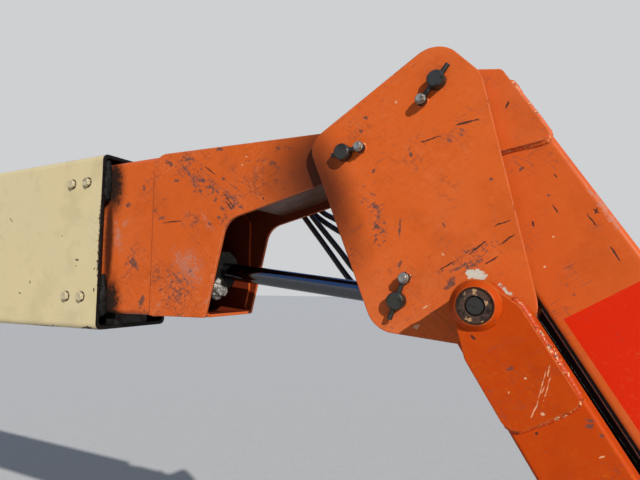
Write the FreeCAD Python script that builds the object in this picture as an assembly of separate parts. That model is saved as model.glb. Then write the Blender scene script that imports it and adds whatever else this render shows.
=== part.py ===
import FreeCAD, Part
import math
import os

from FreeCAD import Vector

# Telescopic boom with an articulating jib, as carried by a boom lift.
# Millimetres. X runs forward along the boom, Z is up, and Y is across.
# The near side is -Y. The origin is the middle of the boom's rear pivot bore.
# The fly is drawn in and the jib hangs 60 degrees below the boom.

# Base boom: a folded box tube round its own rear pivot
BASE_REAR = -180.0
BASE_MOUTH = 3300.0
BASE_BOTTOM = -94.0
BASE_HEIGHT = 392.0
BASE_HALF_WIDTH = 100.0
BASE_WALL = 8.0
BASE_BEND = 14.0
PIVOT_BORE = 35.0
PIVOT_TUBE_WALL = 18.0
PIVOT_TUBE_STAND = 22.0
PIVOT_DOUBLER_RADIUS = 92.0
PIVOT_DOUBLER_THICK = 12.0
LIFT_LUG_X = 1250.0
LIFT_LUG_DROP = 105.0
LIFT_LUG_BORE = 25.0
LIFT_LUG_RADIUS = 58.0
LIFT_LUG_THICK = 25.0
LIFT_LUG_HALF_GAP = 36.0
LIFT_LUG_BASE = 420.0
LIFT_LUG_CORNER = 52.0

# Fly boom inside the base boom
FLY_REAR = 250.0
FLY_BOTTOM_GAP = 27.0
FLY_TOP_GAP = 9.0
FLY_SIDE_GAP = 20.0
FLY_WALL = 6.0
FLY_BEND = 12.0
FLY_ROOF_END = 3545.0
FLY_MOUTH_INSET = 12.0
FLY_MOUTH_CORNER = 10.0
FLY_MOUTH_FLOOR = 8.0
FLY_MOUTH_TOP = 110.0
FLY_MOUTH_BACK = 190.0

# Wear pads
PAD_RUN = 0.3
MOUTH_PAD_LENGTH = 140.0
MOUTH_PAD_INSET = 4.0
SIDE_PAD_HEIGHT = 76.0
SIDE_PAD_TOP_DROP = 62.0
SIDE_PAD_BOTTOM_RISE = 72.0
FLAT_PAD_WIDTH = 92.0
REAR_PAD_LENGTH = 150.0

# Gooseneck: two side plates welded outside the fly tube, with cover plates between
GOOSE_PLATE = 8.0
GOOSE_START = 3437.5
GOOSE_CORNER = 32.0
GOOSE_COVER = 8.0
GOOSE_FOOT_X = 3583.0
GOOSE_FOOT_CORNER = 5.0
THROAT_X = 3630.8
THROAT_Z = 130.0
THROAT_RADIUS = 45.0
NOSE_RADIUS = 46.0
NOSE_TUBE_RADIUS = 31.0
NOSE_UNDER_DROP = 32.0
UNDERSIDE_INSET = 16.0
UNDERSIDE_FROM_THROAT = 36.0

# Pin places (x, z) with the jib hanging
KNUCKLE_PIN = (3889.5, 224.0)
LEVEL_PIN = (3978.0, -18.0)
JIB_PIN = (4045.5, 317.5)
LINK_PIN = (4107.0, -19.0)
LEVEL_ANCHOR_X = 3040.0
LEVEL_SLOPE = -0.1286
PIN_RADIUS = 13.5
PIN_RUN = 0.05
PIN_HEAD_STAND = 17.0
PIN_CHAMFER = 2.0
PIN_TAIL_STAND = 5.0

# Knuckle plates
KNUCKLE_GAP = 6.0
KNUCKLE_PLATE = 12.0
WEB_THICK = 10.0
WEB_FOOT = (3988.0, 61.5)
WEB_HEAD = (4004.5, 198.5)

# Keeper rods through the pin heads
KEEPER_RADIUS = 4.0
KEEPER_RUN = 0.05
KEEPER_BOSS_RADIUS = 8.5
KEEPER_BOSS_STAND = 13.0
KEEPER_HEIGHT = 8.5

# Jib arm
JIB_ANGLE = -60.0
JIB_LENGTH = 1447.0
JIB_TOP = 86.0
JIB_BOTTOM = 58.0
JIB_WALL = 6.0
JIB_BEND = 10.0
JIB_CHEEK = 8.0
JIB_CHEEK_INSET = 2.0
JIB_END_OVER = 8.0
JIB_EYE_RADIUS = 46.0
JIB_TUBE_RADIUS = 31.0

# Lower links, outside the knuckle plates
LINK_GAP = 6.0
LINK_DEEP = 72.0
LINK_HALF_WIDTH = 48.0
LINK_WALL = 6.0
LINK_BEND = 5.0
LINK_EAR = 12.0
LINK_EAR_LENGTH = 150.0
LINK_EAR_ABOVE = 44.5
LINK_EAR_BELOW = 46.5
LINK_EAR_ROUND = 33.0
LINK_EYE_RADIUS = 31.0
LINK_EYE_BORE = 21.5
LINK_COLLAR_STAND = 10.0
LINK_COLLAR_FOOT = 32.0
LINK_COLLAR_MOUTH = 24.5
LINK_TUBE_OVER_EYE = 2.0
LINK_BUSH_RUN = 0.1
LINK_BUSH_RECESS = 1.0
LINK_PIN_RADIUS = 12.5
LINK_PIN_RECESS = 3.0
LINK_TIE_LENGTH = 150.0
LINK_TIE_THICK = 10.0

# Level cylinder, in the fly
LEVEL_BARREL_RADIUS = 36.0
LEVEL_BORE = 28.0
LEVEL_ROD_RADIUS = 17.5
LEVEL_BARREL_LENGTH = 524.0
LEVEL_GLAND_LENGTH = 26.0
LEVEL_GLAND_RADIUS = 40.0
LEVEL_EYE_RADIUS = 31.0
LEVEL_EYE_HALF = 27.0
LEVEL_PISTON = 24.0
LEVEL_PISTON_PLACE = 384.0
LEVEL_BASE_THICK = 12.0
LEVEL_GLAND_LIP = 12.0

# Jib cylinder, between the links
LIFT_BARREL_RADIUS = 42.0
LIFT_BORE = 34.0
LIFT_ROD_RADIUS = 20.0
LIFT_ROD_SHOWN = 50.0
LIFT_GLAND_LENGTH = 30.0
LIFT_GLAND_LIP = 10.0
LIFT_GLAND_RADIUS = 41.0
LIFT_EYE_RADIUS = 36.0
LIFT_EYE_HALF = 26.0
LIFT_ROD_EYE_RADIUS = 28.8
LIFT_BASE_THICK = 14.0
LIFT_PISTON = 28.0
LIFT_PISTON_REST = 4.0
LIFT_LUG_FROM_END = 267.0
LIFT_LUG_BELOW = 104.0
JIB_LUG_GAP = 4.0
JIB_LUG_THICK = 12.0
JIB_LUG_LENGTH = 150.0
JIB_LUG_RADIUS = 32.0
JIB_LUG_CORNER = 26.0
PISTON_RUN = 0.3
ROD_RUN = 0.08

# Platform bracket at the jib's far end
BRACKET_FACE_OUT = 190.0
BRACKET_FACE_THICK = 16.0
BRACKET_FACE_OVER = 62.0
BRACKET_EYE = 62.0
BRACKET_CORNER = 56.0
BRACKET_HOLE = 11.0
BRACKET_HOLES_Y = 110.0
BRACKET_HOLES_Z = 300.0

# Hoses past the knuckle on the far side, between a port block on the gooseneck and one on the knuckle
HOSE_RADIUS = 6.0
HOSE_FERRULE_RADIUS = 7.6
HOSE_FERRULE_LENGTH = 24.0
HOSE_ANGLE = -52.1
HOSE_PITCH = 16.2
HOSE_INNER_Y = 110.0
HOSE_OUTER_Y = 126.0
PORT_BLOCK_OUTER = 138.0
PORT_BLOCK_LENGTH = 46.0
PORT_BLOCK_EDGE = 12.0
FIRST_PORT = (3671.5, 191.0)
KNUCKLE_BLOCK_X = 3918.0
KNUCKLE_BLOCK_LENGTH = 32.0
KNUCKLE_BLOCK_EDGE = 15.0
HOSE_ARC_SHARE = 0.45

# Sizes that follow
BASE_TOP = BASE_BOTTOM + BASE_HEIGHT
FLY_BOTTOM = BASE_BOTTOM + BASE_WALL + FLY_BOTTOM_GAP
FLY_TOP = BASE_TOP - BASE_WALL - FLY_TOP_GAP
FLY_HALF_WIDTH = BASE_HALF_WIDTH - BASE_WALL - FLY_SIDE_GAP
INNER_HALF = FLY_HALF_WIDTH + GOOSE_PLATE
KNUCKLE_INNER = INNER_HALF + KNUCKLE_GAP
KNUCKLE_OUTER = KNUCKLE_INNER + KNUCKLE_PLATE
LINK_INNER = KNUCKLE_OUTER + LINK_GAP
LINK_OUTER = LINK_INNER + LINK_DEEP
EAR_OUTER = LINK_OUTER + LINK_EAR
COLLAR_OUTER = EAR_OUTER + LINK_COLLAR_STAND
JIB_HALF_WIDTH = INNER_HALF - JIB_CHEEK
LIFT_LUG_ALONG = JIB_LENGTH - LIFT_LUG_FROM_END
SIDES = (-1, 1)


def turned(angle):
    """Unit vectors along and above a direction, as degrees above +X."""
    turn = math.radians(angle)
    along = Vector(math.cos(turn), 0, math.sin(turn))
    above = Vector(-math.sin(turn), 0, math.cos(turn))
    return along, above


def beyond(start, angle, along, above=0.0):
    """The point (x, z) that lies so far along and above a line from start."""
    ahead, up = turned(angle)
    point = Vector(start[0], 0, start[1]) + ahead * along + up * above
    return point.x, point.z


def placed(shape, start, angle):
    """A shape drawn along X from the origin, laid from start at an angle above +X."""
    copy = shape.copy()
    copy.rotate(Vector(0, 0, 0), Vector(0, 1, 0), -angle)
    copy.translate(Vector(start[0], 0, start[1]))
    return copy


def slab(corners, low, high):
    """A plate across Y from low to high. Each corner is x, z and its radius."""
    count = len(corners)
    turns = []
    for i, (x, z, radius) in enumerate(corners):
        corner = Vector(x, 0, z)
        before = Vector(corners[i - 1][0], 0, corners[i - 1][1]) - corner
        after = Vector(corners[(i + 1) % count][0], 0, corners[(i + 1) % count][1]) - corner
        before.normalize()
        after.normalize()
        if radius == 0:
            turns.append((corner, None, corner))
            continue
        half = before.getAngle(after) / 2
        reach = radius / math.tan(half)
        middle = before + after
        middle.normalize()
        crown = corner + middle * (radius / math.sin(half) - radius)
        turns.append((corner + before * reach, crown, corner + after * reach))
    edges = []
    for i, (start, crown, end) in enumerate(turns):
        if crown is not None:
            edges.append(Part.Arc(start, crown, end).toShape())
        following = turns[(i + 1) % count][0]
        if end.distanceToPoint(following) > 1e-6:
            edges.append(Part.LineSegment(end, following).toShape())
    face = Part.Face(Part.Wire(Part.__sortEdges__(edges)))
    plate = face.extrude(Vector(0, high - low, 0))
    plate.translate(Vector(0, low, 0))
    return plate


def round_bar(place, radius, low, high):
    """A cylinder across Y from low to high round a place (x, z)."""
    start = Vector(place[0], low, place[1])
    return Part.makeCylinder(radius, high - low, start, Vector(0, 1, 0))


def ring(place, radius, bore, low, high):
    """A tube across Y from low to high round a place (x, z)."""
    return round_bar(place, radius, low, high).cut(round_bar(place, bore, low - 1, high + 1))


def section(half_width, bottom, top, bend, start):
    """A rounded rectangle in Y and Z, as a face at x = start."""
    low, high = bottom + bend, top - bend
    side = half_width - bend
    cut = bend * (1 - math.sqrt(0.5))
    corners = [(side, low, 1, -1), (side, high, 1, 1), (-side, high, -1, 1), (-side, low, -1, -1)]
    edges = []
    points = []
    for y, z, across, up in corners:
        flat = Vector(start, y, z + up * bend)
        upright = Vector(start, y + across * bend, z)
        crown = Vector(start, y + across * (bend - cut), z + up * (bend - cut))
        points.append((flat, crown, upright) if across == -up else (upright, crown, flat))
    for i, (first, crown, last) in enumerate(points):
        edges.append(Part.Arc(first, crown, last).toShape())
        edges.append(Part.LineSegment(last, points[(i + 1) % 4][0]).toShape())
    return Part.Face(Part.Wire(edges))


def box_bar(half_width, bottom, top, bend, start, end):
    """A solid bar along X with rounded long edges."""
    return section(half_width, bottom, top, bend, start).extrude(Vector(end - start, 0, 0))


def box_tube(half_width, bottom, top, wall, bend, start, end):
    """A folded box tube along X, open at both ends."""
    outer = box_bar(half_width, bottom, top, bend, start, end)
    inner = box_bar(half_width - wall, bottom + wall, top - wall, bend - wall / 2, start - 1, end + 1)
    return outer.cut(inner)


def pair(make):
    """The same solid made for the near side and the far side, as a near and far pair."""
    return [make(side) for side in SIDES]


def between(side, inner, outer):
    """Low and high Y of a layer on one side."""
    return (side * outer, side * inner) if side < 0 else (side * inner, side * outer)


def chamfered(bar, size):
    """A bar with its two flat ends' edges bevelled."""
    rims = [e for e in bar.Edges if isinstance(e.Curve, Part.Circle)]
    return bar.makeChamfer(size, rims)


parts = {}


def add(name, *solids):
    """Keeps the solids of one named piece."""
    parts[name] = solids[0] if len(solids) == 1 else Part.makeCompound(list(solids))


# Base boom
pivot = (0.0, 0.0)
pivot_radius = PIVOT_BORE + PIVOT_TUBE_WALL
pivot_half = BASE_HALF_WIDTH + PIVOT_TUBE_STAND
shell = box_tube(BASE_HALF_WIDTH, BASE_BOTTOM, BASE_TOP, BASE_WALL, BASE_BEND, BASE_REAR, BASE_MOUTH)
shell = shell.cut(round_bar(pivot, pivot_radius, -pivot_half, pivot_half))
add("base_boom", shell)
add("pivot_tube", ring(pivot, pivot_radius, PIVOT_BORE, -pivot_half, pivot_half))


def pivot_doubler(side):
    """Round plate that spreads the pivot's load over the boom's side."""
    low, high = between(side, BASE_HALF_WIDTH, BASE_HALF_WIDTH + PIVOT_DOUBLER_THICK)
    return ring(pivot, PIVOT_DOUBLER_RADIUS, pivot_radius, low, high)


add("pivot_doublers", *pair(pivot_doubler))

lug_eye = (LIFT_LUG_X, BASE_BOTTOM - LIFT_LUG_DROP)


def lift_lug(side):
    """Lug under the base boom for the cylinder that lifts it."""
    low, high = between(side, LIFT_LUG_HALF_GAP, LIFT_LUG_HALF_GAP + LIFT_LUG_THICK)
    half = LIFT_LUG_BASE / 2
    corners = [
        (LIFT_LUG_X - half, BASE_BOTTOM, 0),
        (LIFT_LUG_X - LIFT_LUG_RADIUS, lug_eye[1] - LIFT_LUG_RADIUS, LIFT_LUG_CORNER),
        (LIFT_LUG_X + LIFT_LUG_RADIUS, lug_eye[1] - LIFT_LUG_RADIUS, LIFT_LUG_CORNER),
        (LIFT_LUG_X + half, BASE_BOTTOM, 0),
    ]
    return slab(corners, low, high).cut(round_bar(lug_eye, LIFT_LUG_BORE, low - 1, high + 1))


add("lift_cylinder_lugs", *pair(lift_lug))


# Wear pads at the base boom's mouth and at the fly's rear end
def wear_pads(start, end, wall_run, fly_run):
    """Pads that fill the gap round the fly, short of the wall or of the fly by its running gap."""
    solids = []
    side_inner = FLY_HALF_WIDTH + fly_run
    side_outer = BASE_HALF_WIDTH - BASE_WALL - wall_run
    for side in SIDES:
        low, high = between(side, side_inner, side_outer)
        for middle in (BASE_TOP - SIDE_PAD_TOP_DROP, BASE_BOTTOM + SIDE_PAD_BOTTOM_RISE):
            bottom = middle - SIDE_PAD_HEIGHT / 2
            solids.append(Part.makeBox(end - start, high - low, SIDE_PAD_HEIGHT, Vector(start, low, bottom)))
    half = FLAT_PAD_WIDTH / 2
    floor = BASE_BOTTOM + BASE_WALL + wall_run
    roof = BASE_TOP - BASE_WALL - wall_run
    lower = Part.makeBox(end - start, 2 * half, FLY_BOTTOM - fly_run - floor, Vector(start, -half, floor))
    upper_start = FLY_TOP + fly_run
    upper = Part.makeBox(end - start, 2 * half, roof - upper_start, Vector(start, -half, upper_start))
    return solids + [lower, upper]


mouth_pad_end = BASE_MOUTH - MOUTH_PAD_INSET
add("mouth_wear_pads", *wear_pads(mouth_pad_end - MOUTH_PAD_LENGTH, mouth_pad_end, 0, PAD_RUN))
add("fly_wear_pads", *wear_pads(FLY_REAR, FLY_REAR + REAR_PAD_LENGTH, PAD_RUN, 0))

# Fly boom: its front end is cut along the throat, short of the gooseneck's edge
throat_lean = (THROAT_X - GOOSE_FOOT_X) / (THROAT_Z - FLY_BOTTOM)
mouth_foot_x = GOOSE_FOOT_X - FLY_MOUTH_INSET
mouth_floor = FLY_BOTTOM + FLY_MOUTH_FLOOR
mouth_end = THROAT_X + THROAT_RADIUS
mouth_cut = slab(
    [
        (mouth_foot_x, mouth_floor, FLY_MOUTH_CORNER),
        (mouth_end, mouth_floor, 0),
        (mouth_end, FLY_TOP + FLY_WALL, 0),
        (FLY_ROOF_END, FLY_TOP + FLY_WALL, 0),
        (FLY_ROOF_END, FLY_MOUTH_BACK, 0),
        (mouth_foot_x + throat_lean * (FLY_MOUTH_TOP - mouth_floor), FLY_MOUTH_TOP, 0),
    ],
    -FLY_HALF_WIDTH - 1,
    FLY_HALF_WIDTH + 1,
)
fly = box_tube(FLY_HALF_WIDTH, FLY_BOTTOM, FLY_TOP, FLY_WALL, FLY_BEND, FLY_REAR, GOOSE_FOOT_X)
add("fly_boom", fly.cut(mouth_cut))

nose_top = KNUCKLE_PIN[1] + NOSE_RADIUS
nose_under = KNUCKLE_PIN[1] - NOSE_UNDER_DROP


def gooseneck_plate(side):
    """Side plate from the fly's side to the knuckle's pin."""
    low, high = between(side, FLY_HALF_WIDTH, INNER_HALF)
    corners = [
        (GOOSE_START, FLY_BOTTOM, 0),
        (GOOSE_FOOT_X, FLY_BOTTOM, GOOSE_FOOT_CORNER),
        (THROAT_X, THROAT_Z, THROAT_RADIUS),
        (KNUCKLE_PIN[0], nose_under, 0),
        (KNUCKLE_PIN[0], nose_top, 0),
        (GOOSE_START, FLY_TOP, GOOSE_CORNER),
    ]
    plate = slab(corners, low, high).fuse(round_bar(KNUCKLE_PIN, NOSE_RADIUS, low, high)).removeSplitter()
    return plate.cut(round_bar(KNUCKLE_PIN, NOSE_TUBE_RADIUS, low - 1, high + 1))


near, far = pair(gooseneck_plate)
add("gooseneck_plate_near", near)
add("gooseneck_plate_far", far)

cover_slope = (nose_top - FLY_TOP) / (KNUCKLE_PIN[0] - GOOSE_START)
cover_start = FLY_TOP + cover_slope * (FLY_ROOF_END - GOOSE_START)
under_slope = (nose_under - THROAT_Z) / (KNUCKLE_PIN[0] - THROAT_X)
under_start = THROAT_X + UNDERSIDE_FROM_THROAT
under_start_z = THROAT_Z + under_slope * UNDERSIDE_FROM_THROAT + UNDERSIDE_INSET
cover_end = KNUCKLE_PIN[0] - NOSE_TUBE_RADIUS
cover_end_z = nose_top - cover_slope * NOSE_TUBE_RADIUS
cover = slab(
    [
        (FLY_ROOF_END, cover_start, 0),
        (cover_end, cover_end_z, 0),
        (cover_end, cover_end_z - GOOSE_COVER, 0),
        (FLY_ROOF_END, cover_start - GOOSE_COVER, 0),
    ],
    -FLY_HALF_WIDTH,
    FLY_HALF_WIDTH,
)
underside_end_z = nose_under - under_slope * NOSE_TUBE_RADIUS + UNDERSIDE_INSET
underside = slab(
    [
        (under_start, under_start_z, 0),
        (cover_end, underside_end_z, 0),
        (cover_end, underside_end_z + GOOSE_COVER, 0),
        (under_start, under_start_z + GOOSE_COVER, 0),
    ],
    -FLY_HALF_WIDTH,
    FLY_HALF_WIDTH,
)
nose_tube = ring(KNUCKLE_PIN, NOSE_TUBE_RADIUS, PIN_RADIUS + PIN_RUN, -INNER_HALF, INNER_HALF)
add("gooseneck_cover", cover)
add("gooseneck_underside", underside.cut(round_bar(KNUCKLE_PIN, NOSE_TUBE_RADIUS, -INNER_HALF, INNER_HALF)))
add("nose_tube", nose_tube)

# Knuckle plates, outline clockwise from the top left: x, z, corner radius
KNUCKLE_OUTLINE = [
    (3820.0, 250.0, 34.0),
    (4048.5, 388.0, 47.0),
    (4110.0, 319.5, 40.0),
    (4188.0, -91.0, 62.0),
    (3939.0, -64.5, 48.0),
]
KNUCKLE_PINS = (KNUCKLE_PIN, LEVEL_PIN, JIB_PIN)


def knuckle_plate(side):
    """Side plate that holds the four pins."""
    low, high = between(side, KNUCKLE_INNER, KNUCKLE_OUTER)
    plate = slab(KNUCKLE_OUTLINE, low, high)
    for place in KNUCKLE_PINS:
        plate = plate.cut(round_bar(place, PIN_RADIUS, low - 1, high + 1))
    return plate.cut(round_bar(LINK_PIN, LINK_PIN_RADIUS, low - 1, high + 1))


near, far = pair(knuckle_plate)
add("knuckle_plate_near", near)
add("knuckle_plate_far", far)

web_rise = math.degrees(math.atan2(WEB_HEAD[1] - WEB_FOOT[1], WEB_HEAD[0] - WEB_FOOT[0]))
web_height = math.hypot(WEB_HEAD[1] - WEB_FOOT[1], WEB_HEAD[0] - WEB_FOOT[0])
web = slab([(0, 0, 0), (web_height, 0, 0), (web_height, WEB_THICK, 0), (0, WEB_THICK, 0)],
           -KNUCKLE_INNER, KNUCKLE_INNER)
add("knuckle_web", placed(web, WEB_FOOT, web_rise))

# Keeper of each pin head: pin place, angle of the rod's boss end, reach to that boss, length of the other end
KEEPERS = [
    (KNUCKLE_PIN, 10.0, 30.0, 20.0),
    (LEVEL_PIN, 69.0, 37.0, 30.0),
    (JIB_PIN, 229.0, 36.0, 28.0),
]
head_face = -KNUCKLE_OUTER - PIN_HEAD_STAND
keeper_y = -KNUCKLE_OUTER - KEEPER_HEIGHT


def keeper_rod(place, angle, reach, stub, radius):
    """Rod through a pin head, from its stub to the middle of its boss."""
    ahead, _ = turned(angle)
    start = Vector(place[0], keeper_y, place[1]) - ahead * stub
    return Part.makeCylinder(radius, stub + reach, start, ahead)


keepers = []
for place, angle, reach, stub in KEEPERS:
    boss = round_bar(beyond(place, angle, reach), KEEPER_BOSS_RADIUS,
                     -KNUCKLE_OUTER - KEEPER_BOSS_STAND, -KNUCKLE_OUTER)
    keepers.append(keeper_rod(place, angle, reach, stub, KEEPER_RADIUS).fuse(boss))
add("pin_keepers", *keepers)


def headed_pin(place, angle, reach, stub, low, high):
    """Pin with a bevelled head, cross drilled for its keeper rod."""
    pin = chamfered(round_bar(place, PIN_RADIUS, low, high), PIN_CHAMFER)
    return pin.cut(keeper_rod(place, angle, reach, stub, KEEPER_RADIUS + KEEPER_RUN))


tail_face = KNUCKLE_OUTER + PIN_TAIL_STAND
add("knuckle_pin", headed_pin(*KEEPERS[0], head_face, tail_face))
add("jib_pin", headed_pin(*KEEPERS[2], head_face, tail_face))
level_stub_near = headed_pin(*KEEPERS[1], head_face, -KNUCKLE_INNER)
level_stub_far = chamfered(round_bar(LEVEL_PIN, PIN_RADIUS, KNUCKLE_INNER, tail_face), PIN_CHAMFER)
add("level_pin_ends", level_stub_near, level_stub_far)
link_pin_end = COLLAR_OUTER - LINK_PIN_RECESS
add("link_pin", chamfered(round_bar(LINK_PIN, LINK_PIN_RADIUS, -link_pin_end, link_pin_end), PIN_CHAMFER))

# Level cylinder: drawn along X from its base pin, then laid in place
level_anchor = (LEVEL_ANCHOR_X, LEVEL_PIN[1] + LEVEL_SLOPE * (LEVEL_ANCHOR_X - LEVEL_PIN[0]))
level_angle = math.degrees(math.atan(LEVEL_SLOPE))
level_length = math.hypot(LEVEL_PIN[0] - level_anchor[0], LEVEL_PIN[1] - level_anchor[1])


def x_bar(radius, start, end):
    """A cylinder along X."""
    return Part.makeCylinder(radius, end - start, Vector(start, 0, 0), Vector(1, 0, 0))


def cylinder_barrel(radius, bore, length, eye_radius, eye_half, pin_hole, base_thick):
    """Barrel whose closed end holds its base eye, open at the front."""
    body = x_bar(radius, eye_radius - base_thick, length)
    body = body.cut(x_bar(bore, eye_radius + base_thick, length + 1))
    body = body.fuse(round_bar((0, 0), eye_radius, -eye_half, eye_half))
    return body.cut(round_bar((0, 0), pin_hole, -eye_half - 1, eye_half + 1)).removeSplitter()


def gland(bore, radius, barrel_end, depth, lip, rod_hole):
    """Gland that fills the barrel's mouth and stands out of it as a lip, bored for the rod."""
    body = x_bar(bore, barrel_end - depth, barrel_end).fuse(x_bar(radius, barrel_end, barrel_end + lip))
    return body.cut(x_bar(rod_hole, 0, barrel_end + lip + 1))


def cylinder_rod(radius, piston_radius, piston, rear, length, eye_radius, eye_half):
    """Rod with its piston inside the barrel and a closed eye at the far end."""
    body = x_bar(radius, rear, length).fuse(x_bar(piston_radius, rear, rear + piston))
    return body.fuse(round_bar((length, 0), eye_radius, -eye_half, eye_half)).removeSplitter()


level_barrel = cylinder_barrel(LEVEL_BARREL_RADIUS, LEVEL_BORE, LEVEL_BARREL_LENGTH, LEVEL_EYE_RADIUS,
                               LEVEL_EYE_HALF, PIN_RADIUS + PIN_RUN, LEVEL_BASE_THICK)
level_gland = gland(LEVEL_BORE, LEVEL_GLAND_RADIUS, LEVEL_BARREL_LENGTH, LEVEL_GLAND_LENGTH, LEVEL_GLAND_LIP,
                    LEVEL_ROD_RADIUS + ROD_RUN)
level_rod = cylinder_rod(LEVEL_ROD_RADIUS, LEVEL_BORE - PISTON_RUN, LEVEL_PISTON, LEVEL_PISTON_PLACE,
                         level_length, LEVEL_EYE_RADIUS, LEVEL_EYE_HALF)
level_rod = level_rod.fuse(round_bar((level_length, 0), PIN_RADIUS, -INNER_HALF, INNER_HALF))
add("level_cylinder_barrel", placed(level_barrel, level_anchor, level_angle))
add("level_cylinder_gland", placed(level_gland, level_anchor, level_angle))
add("level_cylinder_rod", placed(level_rod, level_anchor, level_angle))
anchor_half = FLY_HALF_WIDTH - FLY_WALL
add("level_anchor_pin", round_bar(level_anchor, PIN_RADIUS, -anchor_half, anchor_half))

# Jib arm, drawn along X from its knuckle pin, then laid in place
jib_end = beyond(JIB_PIN, JIB_ANGLE, JIB_LENGTH)
link_end = beyond(LINK_PIN, JIB_ANGLE, JIB_LENGTH)

# Cheek plate: its long and short edge, and the bevel at the jib's upper corner from the pin's side to the top
CHEEK_LONG = 169.0
CHEEK_SHORT = 115.0
CHEEK_CORNER = 12.0
CHEEK_LONG_CORNER = 10.0
CHEEK_BACK_TOP = 31.0
CHEEK_BACK_BOTTOM = -40.0
CHEEK_SHOULDER = 38.0
CHEEK_HEEL = 12.0
BEVEL_LOW = (-34.0, 0.0)
BEVEL_HIGH = (70.0, 117.0)


def jib_cheek_outline(mirrored):
    """Outline of a cheek plate at one end of the jib."""
    high = JIB_TOP - JIB_CHEEK_INSET
    low = -JIB_BOTTOM + JIB_CHEEK_INSET
    corners = [
        (-JIB_END_OVER, CHEEK_BACK_TOP, 0.0),
        (CHEEK_SHOULDER, high, CHEEK_CORNER),
        (CHEEK_LONG, high, CHEEK_LONG_CORNER),
        (CHEEK_SHORT, low, CHEEK_CORNER),
        (CHEEK_HEEL, low, 0.0),
        (-JIB_END_OVER, CHEEK_BACK_BOTTOM, 0.0),
    ]
    if mirrored:
        return [(JIB_LENGTH - x, z, radius) for x, z, radius in corners]
    return corners


def jib_cheeks(side):
    """Cheek plates on one side, at both ends of the jib."""
    low, high = between(side, JIB_HALF_WIDTH, INNER_HALF)
    solids = []
    for mirrored, middle in ((False, 0.0), (True, JIB_LENGTH)):
        eye = (middle, 0.0)
        cheek = slab(jib_cheek_outline(mirrored), low, high)
        cheek = cheek.fuse(round_bar(eye, JIB_EYE_RADIUS, low, high)).removeSplitter()
        cheek = cheek.cut(round_bar(eye, JIB_TUBE_RADIUS, low - 1, high + 1))
        solids.append(placed(cheek, JIB_PIN, JIB_ANGLE))
    return solids


def end_bevel(middle, way):
    """What the bevel at one end of the jib box cuts away, way being 1 at the knuckle and -1 at the platform."""
    corners = [
        (BEVEL_LOW[0] * 2, BEVEL_LOW[1]),
        (BEVEL_LOW[0] * 2, BEVEL_HIGH[1]),
        BEVEL_HIGH,
        BEVEL_LOW,
    ]
    return slab([(middle + way * x, z, 0) for x, z in corners], -INNER_HALF, INNER_HALF)


jib_box = box_tube(JIB_HALF_WIDTH, -JIB_BOTTOM, JIB_TOP, JIB_WALL, JIB_BEND, -JIB_END_OVER,
                   JIB_LENGTH + JIB_END_OVER)
for middle, way in ((0.0, 1), (JIB_LENGTH, -1)):
    jib_box = jib_box.cut(end_bevel(middle, way))
    jib_box = jib_box.cut(round_bar((middle, 0), JIB_TUBE_RADIUS, -INNER_HALF, INNER_HALF))
add("jib_box", placed(jib_box, JIB_PIN, JIB_ANGLE))
near, far = pair(jib_cheeks)
add("jib_cheeks_near", *near)
add("jib_cheeks_far", *far)
jib_tubes = [ring((middle, 0), JIB_TUBE_RADIUS, PIN_RADIUS + PIN_RUN, -INNER_HALF, INNER_HALF)
             for middle in (0.0, JIB_LENGTH)]
add("jib_eye_tubes", *[placed(tube, JIB_PIN, JIB_ANGLE) for tube in jib_tubes])

# Lugs for the jib cylinder under the jib box
lug_inner = LIFT_EYE_HALF + JIB_LUG_GAP


def jib_lug(side):
    """Lug with its end of the cylinder's pin."""
    low, high = between(side, lug_inner, lug_inner + JIB_LUG_THICK)
    half = JIB_LUG_LENGTH / 2
    corners = [
        (LIFT_LUG_ALONG - half, -JIB_BOTTOM, 0),
        (LIFT_LUG_ALONG + half, -JIB_BOTTOM, 0),
        (LIFT_LUG_ALONG + JIB_LUG_RADIUS, -LIFT_LUG_BELOW - JIB_LUG_RADIUS, JIB_LUG_CORNER),
        (LIFT_LUG_ALONG - JIB_LUG_RADIUS, -LIFT_LUG_BELOW - JIB_LUG_RADIUS, JIB_LUG_CORNER),
    ]
    lug = slab(corners, low, high)
    outer = lug_inner + JIB_LUG_THICK + PIN_TAIL_STAND
    low, high = between(side, lug_inner, outer)
    lug = lug.fuse(round_bar((LIFT_LUG_ALONG, -LIFT_LUG_BELOW), PIN_RADIUS, low, high))
    return placed(lug, JIB_PIN, JIB_ANGLE)


add("jib_cylinder_lugs", *pair(jib_lug))

# Jib cylinder from the link pin to those lugs
lift_eye = beyond(JIB_PIN, JIB_ANGLE, LIFT_LUG_ALONG, -LIFT_LUG_BELOW)
lift_length = math.hypot(lift_eye[0] - LINK_PIN[0], lift_eye[1] - LINK_PIN[1])
lift_angle = math.degrees(math.atan2(lift_eye[1] - LINK_PIN[1], lift_eye[0] - LINK_PIN[0]))
lift_bore_start = LIFT_EYE_RADIUS + LIFT_BASE_THICK
lift_barrel_end = lift_length - LIFT_ROD_EYE_RADIUS - LIFT_ROD_SHOWN - LIFT_GLAND_LIP
lift_barrel = cylinder_barrel(LIFT_BARREL_RADIUS, LIFT_BORE, lift_barrel_end, LIFT_EYE_RADIUS,
                              LIFT_EYE_HALF, LINK_PIN_RADIUS + PIN_RUN, LIFT_BASE_THICK)
lift_gland = gland(LIFT_BORE, LIFT_GLAND_RADIUS, lift_barrel_end, LIFT_GLAND_LENGTH, LIFT_GLAND_LIP,
                   LIFT_ROD_RADIUS + ROD_RUN)
lift_piston_start = lift_bore_start + LIFT_PISTON_REST
lift_rod = cylinder_rod(LIFT_ROD_RADIUS, LIFT_BORE - PISTON_RUN, LIFT_PISTON, lift_piston_start,
                        lift_length, LIFT_ROD_EYE_RADIUS, LIFT_EYE_HALF)
add("jib_cylinder_barrel", placed(lift_barrel, LINK_PIN, lift_angle))
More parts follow.
